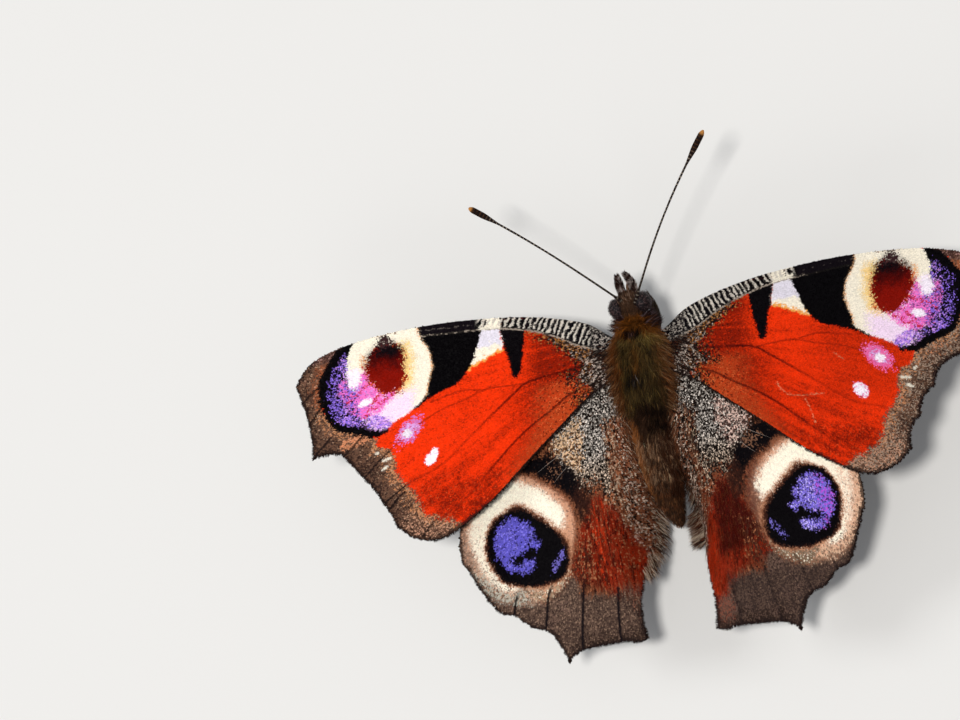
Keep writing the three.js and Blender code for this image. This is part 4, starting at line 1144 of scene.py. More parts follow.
def wing_scales(wing, rng):
    """Rows of scales on the upper and on the lower face."""
    for face, rows in SCALE_ROWS.items():
        upper = face == "scales"
        places = inner_places(wing.hem, rows["pitch"], rng, 0.3, 0.02)
        chance = rng.random(len(places))
        paint = UPPER_PAINT[wing.kind] if upper else under_paint
        colours = paint(places, chance, wing)
        long, broad = SCALE["long"] * rows["size"], SCALE["broad"] * rows["size"]
        name = f"{wing.kind}_{face}_{wing.side}"
        lay_scales(name, wing, places, colours, upper, rng, SCALE_MATERIAL, long, broad)


def lay_wing_hairs(name, wing, root, lift, line, thick, colours, material=None):
    lay_strands(
        f"{wing.kind}_{name}_{wing.side}", wing.place(root, lift), line, thick, colours,
        wing.bake_spot(root), material or HAIR_MATERIAL,
    )


def lying_hairs(wing, root, reach, lifts):
    """Bent hairs along the wing: places at 0.4, 0.75 and the whole of their reach, at the given lifts."""
    bends = [wing.place(root + reach * share, lift) for share, lift in zip(HAIR_BENDS, lifts)]
    return np.stack(bends, axis=1)


def wing_fringe(wing, rng):
    """Hair scales round the hem, out to the wing's true outline."""
    fringed = np.flatnonzero(wing.fringe > PLAIN_EDGE)
    strands = FRINGE_STRANDS
    pick = rng.uniform(fringed[0], fringed[-1], strands)
    k = pick.astype(int)
    t = (pick - k)[:, None]
    after = (k + 1) % len(wing.hem)
    root = wing.hem[k] * (1 - t) + wing.hem[after] * t
    outward = wing.outward[k] * (1 - t) + wing.outward[after] * t
    bend = rng.normal(0, 0.22, (strands, 1))
    way = unit(outward + across_of(outward) * bend)
    clump = 0.82 + 0.36 * noise(root, 0.2, 77) + 0.14 * noise(root, 0.5, 78)
    length = FRINGE * rng.uniform(0.75, 1.05, (strands, 1)) * np.clip(clump, 0.3, 1.1)[:, None]
    root = root - way * 0.1
    lift = wing.relief(root) + rng.uniform(-0.04, 0.05, strands)
    droop = rng.normal(0, 0.03, strands)
    line = np.stack([
        wing.place(root + way * 0.5 * (length + 0.1), lift),
        wing.place(root + way * (length + 0.1), lift + droop),
    ], axis=1)
    colours = fringe_paint(root, rng.random(strands), wing)
    lay_wing_hairs("fringe", wing, root, lift, line, 0.04, colours, SCALE_MATERIAL)


def wing_hairs(wing, rng):
    """Long hairs lying over the wing near the body."""
    plan = WING_HAIRS[wing.kind]
    tries = rng.uniform(plan["low"], plan["high"], (plan["tries"], 2))
    keep = depth_in(tries, wing.hem, 1.0) > plan["margin"]
    if wing.kind == "forewing":
        density = ramp(5.0, 0.5, tries[:, 0])
    else:
        inner = ramp(3.0, 1.4, tries[:, 0])
        fan = shape(tries, RED_FAN if wing.side == "left" else DEEP_FAN, 0.6)
        density = np.maximum(0.6 * inner, 0.75 * fan)
    keep &= rng.random(len(tries)) < density
    root = tries[keep]
    count = len(root)
    lie = wing.lie(root)
    if wing.kind == "hindwing":
        lie[:, 0] -= 0.12
    turn = rng.normal(0, 0.14, (count, 1))
    lie = unit(lie + across_of(lie) * turn)
    size = plan["length"] * rng.uniform(0.6, 1.25, (count, 1))
    base = wing.relief(root) + MEMBRANE / 2
    rise = plan["lean"] * rng.uniform(0.5, 1.3, count)
    line = lying_hairs(wing, root, lie * size, (base + rise * 0.8, base + rise, base + rise * 0.8))
    chance = rng.random(count)
    colours = UPPER_PAINT[wing.kind](root, chance, wing)
    bright = rng.uniform(0.5, 1.2, (count, 1))
    warm = np.where(rng.random((count, 1)) < 0.18, 1.0, 0.0)
    colours = colours * bright * (1 - 0.5 * warm) + srgb(150, 92, 56) * 0.5 * warm
    if wing.kind == "hindwing":
        warmth = 0.35 if wing.side == "left" else 0.12
        colours = mix(colours, srgb(132, 40, 16), warmth * shape(root, RED_FAN, 0.8))
    lay_wing_hairs("hairs", wing, root, base - 0.03, line, 0.014, colours)


def inner_edge_hairs(wing, rng):
    """Long soft hairs on the hindwing's inner edge, reaching in beside the abdomen. At the lower end of
    the right one they stand free of the folded sheet."""
    plan = INNER_HAIRS[wing.side]
    on_right = wing.side == "right"
    count = plan["count"]
    edge = smooth_curve(HINDWING["inner"], 200)
    edge = edge[(edge[:, 1] > plan["end"]) & (edge[:, 1] < -1.0)]
    pick = rng.uniform(0, len(edge) - 1.001, count)
    if on_right:
        pick[: count // 2] *= 0.26
    k = pick.astype(int)
    root = edge[k] + (edge[k + 1] - edge[k]) * (pick - k)[:, None]
    root[:, 0] += rng.uniform(0.1, 0.7, count)
    free = ramp(-10.4, -11.8, root[:, 1:]) * on_right
    way = unit(np.column_stack([rng.normal(-plan["inward"], 0.16, count), np.full(count, -1.0)]))
    size = rng.uniform(0.7, 1.5, (count, 1)) * plan["length"]
    base = wing.relief(root) + rng.uniform(-0.02, 0.1, count)
    line = lying_hairs(wing, root, way * size, (base + 0.05, base + 0.04, base - 0.05))
    inward, back = rng.uniform(0.4, 1.65, count), rng.uniform(0.25, 1.0, count)
    level = np.column_stack([-wing.sign * inward, back, rng.uniform(-0.3, 0.5, count)])
    for bend, share in enumerate(HAIR_BENDS):
        reached = wing.place(root, base) + level * share
        line[:, bend] += (reached - line[:, bend]) * free
    tone = rng.random((count, 1))
    dark_clump = (free > 0.5) & (noise(root * (1, 2), 0.2, 91)[:, None] > 0.6)
    tone = np.where(dark_clump, 0.0, tone)
    pale = 0.05 + 0.17 * ramp(-7.0, -12.0, root[:, 1:])
    brown = srgb(118, 72, 46) * (1 - 0.5 * free) + srgb(104, 40, 26) * 0.5 * free
    colours = np.where(tone < pale, srgb(206, 184, 160), np.where(tone < 0.5, brown, srgb(44, 27, 20)))
    colours = colours * rng.uniform(0.6, 1.2, (count, 1)) * (1 - 0.15 * free)
    lay_wing_hairs("inner_hairs", wing, root, base, line, 0.024, colours)


def stray_hairs(wing):
    """A few long pale hairs over the dark smudge."""
    start, end = np.array(STRAY_HAIRS).swapaxes(0, 1)
    base = MEMBRANE / 2 + 0.05
    line = np.stack([
        wing.place(start + (end - start) * t, base + 0.28 * math.sin(math.pi * t))
        for t in (0.25, 0.5, 0.75, 1.0)
    ], axis=1)
    colours = np.tile(srgb(178, 164, 154), (len(start), 1))
    lay_wing_hairs("stray_hairs", wing, start, base - 0.05, line, 0.018, colours)


def dark_hem(colours, places, chance, wing, shown):
    """An uneven dark line along the hem."""
    uneven = depth_in(places, wing.hem, 0.8) + 0.11 * noise(places, 0.22, 79) + 0.1 * noise(places, 0.6, 80)
    return mix(colours, srgb(30, 19, 18), 0.85 * shown * ramp(0.34, 0.12, uneven + 0.2 * (chance - 0.5)))


def fore_upper(places, chance, wing):
    colours = forewing_upper(places, chance, **FORE_LOOK[wing.side])
    shown = ramp(19.0, 21.0, places[:, 0] - 0.6 * places[:, 1]) * ramp(4.4, 3.4, places[:, 1])
    return dark_hem(colours, places, chance, wing, shown)


def hind_upper(places, chance, wing):
    colours = hindwing_upper(places, chance, **HIND_LOOK[wing.side])
    shown = np.maximum(ramp(12.0, 14.0, places[:, 0]), ramp(-17.5, -19.5, places[:, 1]))
    return dark_hem(colours, places, chance, wing, shown)


FORE_LOOK = {"left": {"seed": 0, "bar_period": 0.46}, "right": {"seed": 200, "bar_period": 0.42, "worn_and_shaded": 1.0}}
HIND_LOOK = {"left": {"seed": 40}, "right": {"seed": 240, "deep_and_shaded": 1.0}}
UPPER_PAINT = {"forewing": fore_upper, "hindwing": hind_upper}
PALE_DOT = {"forewing": (12.5, -3.0), "hindwing": (12.5, -7.5)}


def under_paint(places, chance, wing):
    """Bark-like dark underside with fine wavy lines and a paler outer band."""
    seed = 400 if wing.side == "left" else 600
    out, fore = places.T
    coat = Coat(places, srgb(36, 28, 26), chance)
    along = np.hypot(out + 2, fore - 4)
    swing = np.arctan2(fore - 4, out + 2) * 9
    waves = np.column_stack([along + 0.5 * noise(places, 1.4, seed), swing])
    line = noise(waves, (0.35, 2.4), seed + 1) + 0.6 * noise(places, 0.3, seed + 2)
    coat.lay((78, 62, 54), np.clip(0.25 + 0.45 * line, 0, 1), mosaic=0.8)
    coat.lay((12, 9, 9), np.clip(0.2 - 0.6 * line, 0, 1), mosaic=0.6)
    border = 16.5 if wing.kind == "forewing" else 14.0
    jagged = along + 0.9 * noise(places, 2.6, seed + 3) + 0.35 * noise(places, 0.8, seed + 4)
    coat.lay((17, 13, 13), 0.5 * ramp(border, border - 1.2, jagged) * ramp(3.0, 6.0, jagged), mosaic=0.7)
    coat.lay((7, 5, 6), 0.9 * ramp(0.34, 0.12, np.abs(jagged - border)), mosaic=0.7)
    beyond = ramp(border + 0.4, border + 1.0, jagged) * ramp(border + 6.5, border + 3.0, jagged)
    coat.lay((96, 76, 64), 0.34 * beyond, mosaic=0.8)
    band = ramp(0.5, 1.4, depth_in(places, wing.hem, 4.0)) * ramp(4.0, 2.6, depth_in(places, wing.hem, 4.5))
    coat.lay((92, 78, 70), 0.35 * band * ramp(8, 12, along), mosaic=0.8)
    if wing.kind == "forewing":
        from_front = np.abs(fore - np.interp(out, *np.array(FOREWING["front"]).T) + 0.6)
        bars = np.cos(2 * math.pi * out / 0.6) * ramp(1.4, 0.6, from_front)
        coat.lay((190, 178, 160), 0.5 * ramp(0.2, 0.8, bars) * ramp(18, 12, out))
    coat.lay((225, 215, 200), ramp(0.35, 0.2, oval(places, PALE_DOT[wing.kind], (1, 1))))
    return coat.colour


def fringe_paint(places, chance, wing):
    coat = Coat(places, srgb(48, 34, 30), chance)
    coat.lay((96, 74, 64), 0.3)
    coat.lay((16, 11, 11), 0.4)
    if wing.kind == "hindwing":
        inner = ramp(1.2, 0.6, places[:, 0]) * ramp(-20.0, -17.0, places[:, 1])
        coat.reroll(3)
        coat.lay((150, 108, 78), 0.5 * inner)
    return coat.colour


def make_wings():
    for number, kind in enumerate(("forewing", "hindwing")):
        for side in SIDES:
            rng = np.random.default_rng(100 + 10 * number + (side == "right"))
            wing = Wing(kind, side)
            wing_sheet(wing, rng)
            wing_scales(wing, rng)
            wing_fringe(wing, rng)
            wing_hairs(wing, rng)
            if kind == "hindwing":
                inner_edge_hairs(wing, rng)
                stray_hairs(wing)


make_wings()


# Body: one skin from brow to tail, in rows of place, height, half width, and reach above and below,
# already thinner than the solids by the depth of the fur
BODY_ROWS = np.array([
    (0.30, -6.26, 0.72, 0.05, 0.05, 0.05),
    (0.29, -6.16, 0.72, 0.50, 0.45, 0.45),
    (0.26, -5.90, 0.71, 0.92, 0.82, 0.82),
    (0.21, -5.50, 0.70, 1.20, 1.06, 1.06),
    (0.16, -5.04, 0.70, 1.30, 1.14, 1.14),
    (0.11, -4.60, 0.68, 1.22, 1.06, 1.06),
    (0.05, -4.15, 0.64, 1.00, 0.86, 0.90),
    (0.00, -3.75, 0.58, 0.98, 0.76, 0.86),
    (0.00, -3.30, 0.55, 1.30, 0.92, 1.10),
    (0.00, -2.60, 0.60, 1.72, 1.15, 1.50),
    (0.00, -1.00, 0.75, 2.32, 1.62, 2.15),
    (0.00, 1.30, 0.80, 2.42, 1.78, 2.42),
    (0.00, 3.40, 0.60, 2.36, 1.52, 2.14),
    (0.00, 4.50, 0.40, 2.08, 1.36, 1.84),
    (0.00, 6.40, 0.10, 2.10, 1.50, 1.72),
    (0.00, 8.50, -0.25, 1.96, 1.44, 1.56),
    (0.00, 11.00, -0.80, 1.55, 1.18, 1.28),
    (0.00, 13.00, -1.60, 1.14, 0.92, 1.02),
    (0.00, 14.70, -2.75, 0.68, 0.58, 0.66),
    (0.00, 15.40, -3.42, 0.28, 0.26, 0.28),
    (0.00, 15.50, -3.52, 0.03, 0.03, 0.03),
])
SEGMENTS = (5.5, 6.9, 8.3, 9.6, 10.9, 12.1, 13.2, 14.2)
PINCH = {"depth": 0.06, "half_width": 0.13}
BODY_RINGS = 260
BODY_SIDES = 72
BODY_HAIRS = 31000
SIDE_TRIES = 30000
FUR_PARTS = {
    "head_fur": {"start": -6.4, "end": -4.05, "slot": "fur_head", "thick": 0.022, "bends": 2},
    "thorax_fur": {"start": -4.05, "end": 4.3, "slot": "fur_thorax", "thick": 0.024, "bends": 3},
    "abdomen_fur": {"start": 4.3, "end": 15.7, "slot": "fur_abdomen", "thick": 0.021, "bends": 2},
}
TUFTS = {
    "side_tufts": {
        "count": 2300, "lie": (0.75, 0.75, -0.05), "length": (0.9, 1.9), "thick": 0.02,
        "tones": ((0.3, (132, 74, 34)), (0.5, (160, 120, 84)), (50, 34, 22)),
    },
    "shoulder_tufts": {
        "count": 1200, "lie": (0.95, -0.5, 0.05), "length": (0.65, 1.25), "thick": 0.026,
        "tones": ((0.16, (132, 112, 116)), (0.4, (70, 40, 30)), (30, 20, 22)),
    },
}
TUFT_RISE = (0.1, 0.35)
ROOT_DEPTH = 0.03
SKIN_SHADE = 0.45
HEAD_PLACE = np.array([0.0, -3.7, 0.6])
HEAD_TURN = math.radians(6.5)


def in_head(points):
    """Points of the head, turned and put in place. Works for single points and for whole hairs."""
    x, y, z = np.moveaxis(np.asarray(points, float), -1, 0)
    c, s = math.cos(HEAD_TURN), math.sin(HEAD_TURN)
    return np.stack([x * c - y * s, x * s + y * c, z], axis=-1) + HEAD_PLACE


def grid_faces(rows, sides):
    """Triangles of a closed tube of rings."""
    k = np.arange(sides)
    n = (k + 1) % sides
    faces = []
    for row in range(rows - 1):
        low, high = row * sides, (row + 1) * sides
        faces.append(np.column_stack([low + k, low + n, high + n]))
        faces.append(np.column_stack([low + k, high + n, high + k]))
    middle = k[1:-1]
    last = (rows - 1) * sides
    faces += [np.column_stack([0 * middle, middle + 1, middle])]
    faces += [last + np.column_stack([0 * middle, middle, middle + 1])]
    return np.vstack(faces)


class Tube:
    """A skin of oval rings along an axis, with its normals and its lie, for skin and for fur roots."""

    def __init__(self, centres, wide, top, bottom, sides=64, side_way=None):
        self.rows, self.sides = len(centres), sides
        along = unit(np.gradient(centres, axis=0))
        if side_way is None:
            side = np.tile((1.0, 0.0, 0.0), (self.rows, 1))
        else:
            side = unit(np.cross(along, side_way))
        up = np.cross(side, along)
        if side_way is None:
            up *= np.sign((up @ (0, 0, 1)) + TINY)[:, None]
        angle = 2 * math.pi * np.arange(sides) / sides
        sine, cosine = np.sin(angle), np.cos(angle)
        height = sine * np.where(sine > 0, np.asarray(top)[:, None], np.asarray(bottom)[:, None])
        width = cosine * np.asarray(wide)[:, None]
        self.grid = centres[:, None] + side[:, None] * width[..., None] + up[:, None] * height[..., None]
        around = np.roll(self.grid, -1, 1) - np.roll(self.grid, 1, 1)
        flow = np.gradient(self.grid, axis=0)
        normal = unit(np.cross(around, flow), TINY)
        outward = self.grid - centres[:, None]
        self.normal = normal * np.sign((normal * outward).sum(2, keepdims=True) + TINIEST)
        self.flow = unit(flow, TINY)

    def points(self):
        return self.grid.reshape(-1, 3)

    def faces(self):
        return grid_faces(self.rows, self.sides)

    def spots(self):
        """Bake places of the points, row by row."""
        around = (np.arange(self.sides) + 0.5) / self.sides
        along = (np.arange(self.rows) + 0.5) / self.rows
        u, v = np.meshgrid(around, along)
        return np.column_stack([u.ravel(), v.ravel()]) * 0.98 + 0.01

    def scatter(self, count, rng, keep=None):
        """Random root places, even over the skin, with their normals, lie and bake spots."""
        step = np.linalg.norm(self.grid[1:] - self.grid[:-1], axis=2)
        ring = np.linalg.norm(np.roll(self.grid, -1, 1) - self.grid, axis=2)[:-1]
        area = (step * ring).ravel()
        pick = rng.choice(len(area), count, p=area / area.sum())
        row, side = np.divmod(pick, self.sides)
        a, b = rng.random((2, count, 1))
        n = (side + 1) % self.sides

        def blend(field):
            low = field[row, side] * (1 - b) + field[row, n] * b
            high = field[row + 1, side] * (1 - b) + field[row + 1, n] * b
            return low * (1 - a) + high * a

        spot = np.column_stack([(side + b[:, 0]) / self.sides, (row + a[:, 0]) / self.rows]) * 0.98 + 0.01
        roots, normals, lies = blend(self.grid), blend(self.normal), blend(self.flow)
        if keep is not None:
            kept = rng.random(count) < keep(roots)
            return roots[kept], normals[kept], lies[kept], spot[kept]
        return roots, normals, lies, spot


def add_skin(name, points, tube, colours, nodes):
    add_piece(name, points, tube.faces(), SKIN_MATERIAL, colours, tube.spots(), replaces=nodes)


def body_tube():
    """Head, thorax and abdomen as one skin, pinched a little between the abdomen's segments."""
    rows = smooth_curve(BODY_ROWS, BODY_RINGS)
    pinch = np.ones(len(rows))
    for place in SEGMENTS:
        pinch -= PINCH["depth"] * np.exp(-(((rows[:, 1] - place) / PINCH["half_width"]) ** 2))
    wide, top, bottom = (np.maximum(rows[:, k], 0.02) * pinch for k in (3, 4, 5))
    return Tube(rows[:, :3], wide, top, bottom, BODY_SIDES)


def body_paint(points, chance, hair):
    """Markings of the body, for its hairs or, darker, for the skin under them."""
    x, y, z = points.T
    flat = points[:, :2]
    grain = noise(flat, 0.22, 71) + noise(flat, 0.7, 72)
    side = np.abs(x)
    below = ramp(0.3, -0.6, z - np.interp(y, BODY_ROWS[:, 1], BODY_ROWS[:, 2]))
    coat = Coat(flat, srgb(84, 64, 34), chance, 0.3)

    # Thorax: olive-brown above, rusty along its sides, dark about the scutellum; its right side is painted
    # darker as shade
    coat.lay((94, 79, 42), 0.4 + 0.3 * grain, mosaic=0.8)
    coat.lay((116, 98, 48), 0.5 * ramp(-0.4, -0.9, x) * ramp(-3.0, -2.5, y) * ramp(-0.8, -1.5, y), mosaic=0.7)
    coat.lay((56, 44, 26), 0.4 * ramp(-0.4, 0.3, y) * ramp(1.6, 0.9, side), mosaic=0.6)
    coat.lay((104, 62, 22), 0.6 * ramp(0.55, 0.1, side) * ramp(-2.0, -0.6, y) * ramp(2.0, 1.0, y), mosaic=0.5)
    flank = ramp(1.0, 1.9, side + 0.25 * grain) * ramp(5.0, 3.5, y)
    # Painted shade: the rust is weaker and the coat darker on the right side, away from the light.
    coat.lay((104, 57, 23), flank * np.where(x > 0, 0.8, 0.4), mosaic=0.8)
    shaded_right_side = ramp(-0.6, -1.6, x + 0.3 * grain) * ramp(0.6, 1.8, y) * ramp(7.0, 5.8, y)
    coat.lay((34, 20, 12), 0.6 * shaded_right_side, mosaic=0.6)
    coat.flecks(11, (0.1, 0.5), (24, 18, 12), 0.3 * ramp(-1.9, -1.2, y))
    coat.flecks(12, (0.09, 0.4), (158, 108, 54), 0.12)
    coat.lay((34, 26, 16), 0.45 * ramp(-0.2, 0.7, grain) * ramp(-1.5, -0.5, y))
    coat.reroll(1)
    shield = oval(flat, (0.35, 1.7), (0.8, 0.72))
    coat.lay((20, 15, 14), 0.75 * ramp(1.3, 0.6, shield + 0.3 * grain))
    coat.lay((158, 148, 142), 0.35 * ramp(0.5, 0.2, shield))
    # Painted shade in the waist between thorax and abdomen.
    waist = oval(flat, (-0.25, 4.8), (1.25, 1.6)) + 0.3 * grain
    coat.lay((26, 15, 10), 0.75 * ramp(1.3, 0.6, waist))

    # Collar and head
    coat.reroll(2)
    coat.lay((104, 60, 20), ramp(-1.7, -2.5, y + 0.3 * grain) * ramp(-4.6, -4.0, y), mosaic=0.8)
    dark = oval(flat, (0.1, -2.35), (0.85, 0.42))
    coat.lay((26, 15, 12), 0.8 * ramp(1.3, 0.7, dark + 0.15 * grain))
    # Painted highlight: a pale glint in the middle of the dark collar patch.
    coat.lay((130, 100, 96), 0.5 * ramp(0.5, 0.2, dark))
    coat.lay((72, 49, 34), ramp(-3.9, -4.4, y), mosaic=0.8)
    coat.lay((34, 22, 20), 0.6 * ramp(-4.1, -4.7, y) * ramp(0.3, 0.9, np.abs(x - 0.16)))
    coat.flecks(13, 0.09, (142, 116, 98), 0.26 * ramp(-4.6, -5.4, y))

    # Abdomen: dark brown, golden at its sides, lightly dusted; its right side is painted darker as shade, so
    # the gold shows mostly on the left
    coat.reroll(3)
    rear = ramp(3.6, 5.2, y + 0.4 * grain)
    coat.lay((58, 38, 26), rear, mosaic=0.8)
    coat.lay((24, 16, 13), 0.4 * rear * ramp(0.2, 1.0, grain + 0.6))
    edge = ramp(0.85, 1.5, side + 0.2 * grain) * ramp(4.2, 6.0, y) * ramp(15.5, 11.0, y)
    # The gold shows mostly on the left; the right edge gets painted shade.
    coat.lay((150, 92, 48), edge * np.where(x > 0, 0.75, 0.1))
    coat.lay((44, 20, 11), 0.9 * edge * (x < 0) * ramp(13.0, 9.5, y))
    coat.reroll(4, 0.12)
    middle = ramp(6.0, 7.8, y) * ramp(12.5, 10.5, y)
    coat.lay((206, 164, 128), 0.08 * rear + 0.2 * middle)
    coat.flecks(14, 0.12, (122, 76, 46), 0.3 * rear * ramp(6.0, 8.0, y))
    # Painted shade: darker toward the right side, most of all at the right of the waist.
    coat.lay((54, 26, 14), 0.6 * rear * ramp(0.1, 1.0, 0.3 * grain - x) * ramp(5.5, 7.5, y), mosaic=0.7)
    coat.lay((16, 9, 6), 0.66 * ramp(3.8, 4.6, y) * ramp(7.6, 5.8, y) * ramp(1.0, -0.4, x))
    for place in SEGMENTS:
        coat.lay((128, 98, 64), 0.16 * rear * ramp(0.3, 0.1, np.abs(y - place + 0.1)))
    coat.lay((52, 40, 34), 0.85 * below)
    coat.lay((122, 104, 86), 0.2 * below)
    return coat.colour * (1.0 if hair else SKIN_SHADE)


def fur_lines(roots, normals, lies, length, rise, spread, rng, bends=3):
    """Bent hairs that leave the skin and then lie back along it."""
    count = len(roots)
    across = np.cross(normals, lies)
    lies = unit(lies + across * rng.normal(0, spread, (count, 1)))
    length = length[:, None]
    lift = (np.asarray(rise) * rng.uniform(0.55, 1.2, count))[:, None]
    curl = across * rng.normal(0, 0.06, (count, 1)) * length
    if bends == 2:
        return np.stack([
            roots + lies * length * 0.45 + normals * lift * 0.8,
            roots + lies * length * 0.96 + normals * lift * 1.05 + curl,
        ], axis=1)
    return np.stack([
        roots + lies * length * 0.28 + normals * lift * 0.62,
        roots + lies * length * 0.62 + normals * lift * 0.95 + curl * 0.5,
        roots + lies * length * 0.96 + normals * lift * 1.05 + curl,
    ], axis=1)


def fur_length(y, side):
    """Length of the body's hair by place: short on the head, longest beside the wings."""
    places = (-6.3, -4.6, -3.6, -2.6, 0.0, 3.5, 5.5, 9.0, 13.0, 15.6)
    lengths = (0.34, 0.42, 0.75, 1.05, 1.25, 1.3, 1.05, 0.8, 0.6, 0.35)
    return np.interp(y, places, lengths) * (1 + 0.25 * ramp(1.4, 2.4, side) * ramp(5.5, 4.0, y))


def fur_depth(y):
    """How far the coat stands off the skin."""
    places = (-6.3, -4.2, -3.3, -2.0, 3.0, 6.0, 12.0, 15.6)
    return np.interp(y, places, (0.1, 0.14, 0.34, 0.46, 0.48, 0.36, 0.24, 0.14))


def make_body():
    rng = np.random.default_rng(7)
    tube = body_tube()
    points = tube.points()
    colours = body_paint(points, rng.random(len(points)), False)
    add_skin("body_skin", stand(points), tube, colours, ["head", "collar", "thorax", "abdomen"])
    roots, normals, lies, spots = tube.scatter(BODY_HAIRS, rng, lambda p: np.where(p[:, 2] < -0.6, 0.5, 1.0))
    for name, part in FUR_PARTS.items():
        pick = (roots[:, 1] >= part["start"]) & (roots[:, 1] < part["end"])
        root, normal, lie, spot = (field[pick] for field in (roots, normals, lies, spots))
        if name == "head_fur":
            lie = lie * np.where(root[:, 1:2] < -5.0, -1, 1) + normal * 0.5 * (root[:, 1:2] < -5.6)
        else:
            forward = ramp(-2.9, -3.5, root[:, 1])[:, None]
            lie = lie * (1 - 0.8 * forward) + normal * 0.8 * forward
        clump = noise(root[:, :2], 0.5, 90)[:, None] * 0.35
        lie = lie + np.cross(normal, lie) * clump
        count = len(root)
        length = fur_length(root[:, 1], np.abs(root[:, 0])) * rng.uniform(0.65, 1.15, count)
        line = fur_lines(root, normal, lie, length, fur_depth(root[:, 1]), 0.26, rng, part["bends"])
        colour = body_paint(root + lie * length[:, None] * 0.5, rng.random(count), True)
        colour = colour * np.exp(rng.normal(-0.03, 0.52, (count, 1)))
        thick = part["thick"] * rng.uniform(0.7, 1.3, count)
        lay_strands(name, root - normal * ROOT_DEPTH, line, thick, colour, spot, HAIR_MATERIAL)


def three_tones(tone, first, second, third):
    """Each tone is a colour with the share it reaches up to; the third takes the rest."""
    colours = np.where(tone < second[0], srgb(*second[1]), srgb(*third))
    return np.where(tone < first[0], srgb(*first[1]), colours)


def make_side_tufts():
    """Long hairs that spread from the thorax over the wing roots, and a dark tuft behind each eye."""
    rng = np.random.default_rng(8)
    tube = body_tube()
    roots, normals, _, spots = tube.scatter(SIDE_TRIES, rng)
    side, y, z = np.abs(roots[:, 0]), roots[:, 1], roots[:, 2]
    way = np.sign(roots[:, :1])
    wing_root = (y > -2.6) & (y < 4.4) & (side > 1.5) & (z > 0.4)
    shoulder = (y > -4.1) & (y < -2.7) & (side > 0.55) & (z < 1.3) & (z > -0.5)
    for name, place in {"side_tufts": wing_root, "shoulder_tufts": shoulder}.items():
        tuft = TUFTS[name]
        found = np.flatnonzero(place)[: tuft["count"]]
        count = len(found)
        root, normal = roots[found], normals[found]
        turn = np.tile(tuft["lie"], (count, 1)) + rng.normal(0, 0.18, (count, 3))
        turn[:, 0] *= way[found, 0]
        length = rng.uniform(*tuft["length"], count)
        line = fur_lines(root, normal, unit(turn), length, rng.uniform(*TUFT_RISE, count), 0.1, rng)
        colour = three_tones(rng.random((count, 1)), *tuft["tones"]) * rng.uniform(0.6, 1.2, (count, 1))
        sunk = root - normal * ROOT_DEPTH
        lay_strands(name, sunk, line, tuft["thick"], colour, spots[found], HAIR_MATERIAL)


def make_face_tuft():
    """Rusty and pale hairs that stand forward between the palps."""
    rng = np.random.default_rng(9)

    def on_face(p):
        return ramp(-5.5, -5.9, p[:, 1]) * ramp(-0.8, -0.2, p[:, 2]) * ramp(0.9, 0.6, np.abs(p[:, 0]))

    roots, normals, _, spots = body_tube().scatter(1100, rng, on_face)
    count = len(roots)
    way = np.column_stack([0.4 * roots[:, 0], np.full(count, -1.0), rng.normal(0.35, 0.25, count)])
    way = unit(way + rng.normal(0, 0.14, (count, 3)))
    length = rng.uniform(0.6, 1.4, count)
    line = fur_lines(roots, normals, way, length, 0.08, 0.12, rng, 2)
    streak = noise(roots[:, (0, 2)], (0.13, 0.4), 93)[:, None] + rng.normal(0, 0.25, (count, 1))
    colours = np.where(streak > -0.2, srgb(104, 54, 30), srgb(40, 25, 22))
    colours = np.where(streak > 0.35, srgb(176, 146, 130), colours) * rng.uniform(0.6, 1.2, (count, 1))
    sunk = roots - normals * ROOT_DEPTH
    lay_strands("face_tuft", sunk, line, 0.022, colours, spots, HAIR_MATERIAL)


make_body()
make_side_tufts()
make_face_tuft()


# Head: eyes, palps, feelers and tongue
EYE = {"centre": (1.22, -1.4, 0.25), "size": (0.78, 0.92, 1.0)}
PALP = {
    "path": [(0.5, -2.0, -0.35), (0.58, -3.0, -0.2), (0.5, -3.75, 0.2), (0.38, -4.25, 0.65)],
    "radii": (0.19, 0.22, 0.17, 0.05),
}
TONGUE = {"centre": (0, -2.6, -1.35), "inner": 0.32, "outer": 0.95, "turns": 1.2, "radius": 0.17}
TONGUE_RINGS = 200
TONGUE_RIPPLE = 260
THIN_SIDES = 20
FEELER = {
    "base": (0.85, -5.75, 1.75),
    "reach": {"left": (11.1, -10.3, 4.8), "right": (-9.3, -13.6, 2.6)},
    "bow": {"left": (0.1, -0.5, 0.3), "right": (0.4, -0.1, 0.3)},
    "club_share": 0.18,
    "shaft": 0.1,
    "club": 0.28,
    "ring": 0.37,
    "rings": 420,
}


def eye_material():
    """Fine bumps of the compound eye under dark and reddish bands."""
    material, tree, shader = new_material("compound_eye", 0.4, 0.12)
    spot = tree.nodes.new("ShaderNodeTexCoord")
    cells = add_node(tree, "TexVoronoi", Scale=16000)
    bands = add_node(tree, "TexNoise", Scale=6500)
    for pattern in (cells, bands):
        tree.links.new(spot.outputs["Object"], pattern.inputs["Vector"])
    tint = tree.nodes.new("ShaderNodeValToRGB")
    dark, light = tint.color_ramp.elements
    dark.color, light.color = (0.004, 0.003, 0.004, 1), (0.085, 0.052, 0.05, 1)
    dark.position, light.position = 0.48, 0.7
    tree.links.new(bands.outputs["Fac"], tint.inputs["Fac"])
    tree.links.new(tint.outputs["Color"], shader.inputs["Base Color"])
    add_bump(tree, shader, cells.outputs["Distance"], 0.5, 0.00004).invert = True
    return material


def ball(centre, size, rows=48, sides=64):
    """An oval ball with its poles at front and back."""
    angle = np.linspace(0.02, math.pi - 0.02, rows)
    centres = np.tile(np.array(centre, float), (rows, 1))
    centres[:, 1] -= size[1] * np.cos(angle)
    reach = np.sin(angle)
    return Tube(centres, size[0] * reach, size[2] * reach, size[2] * reach, sides)


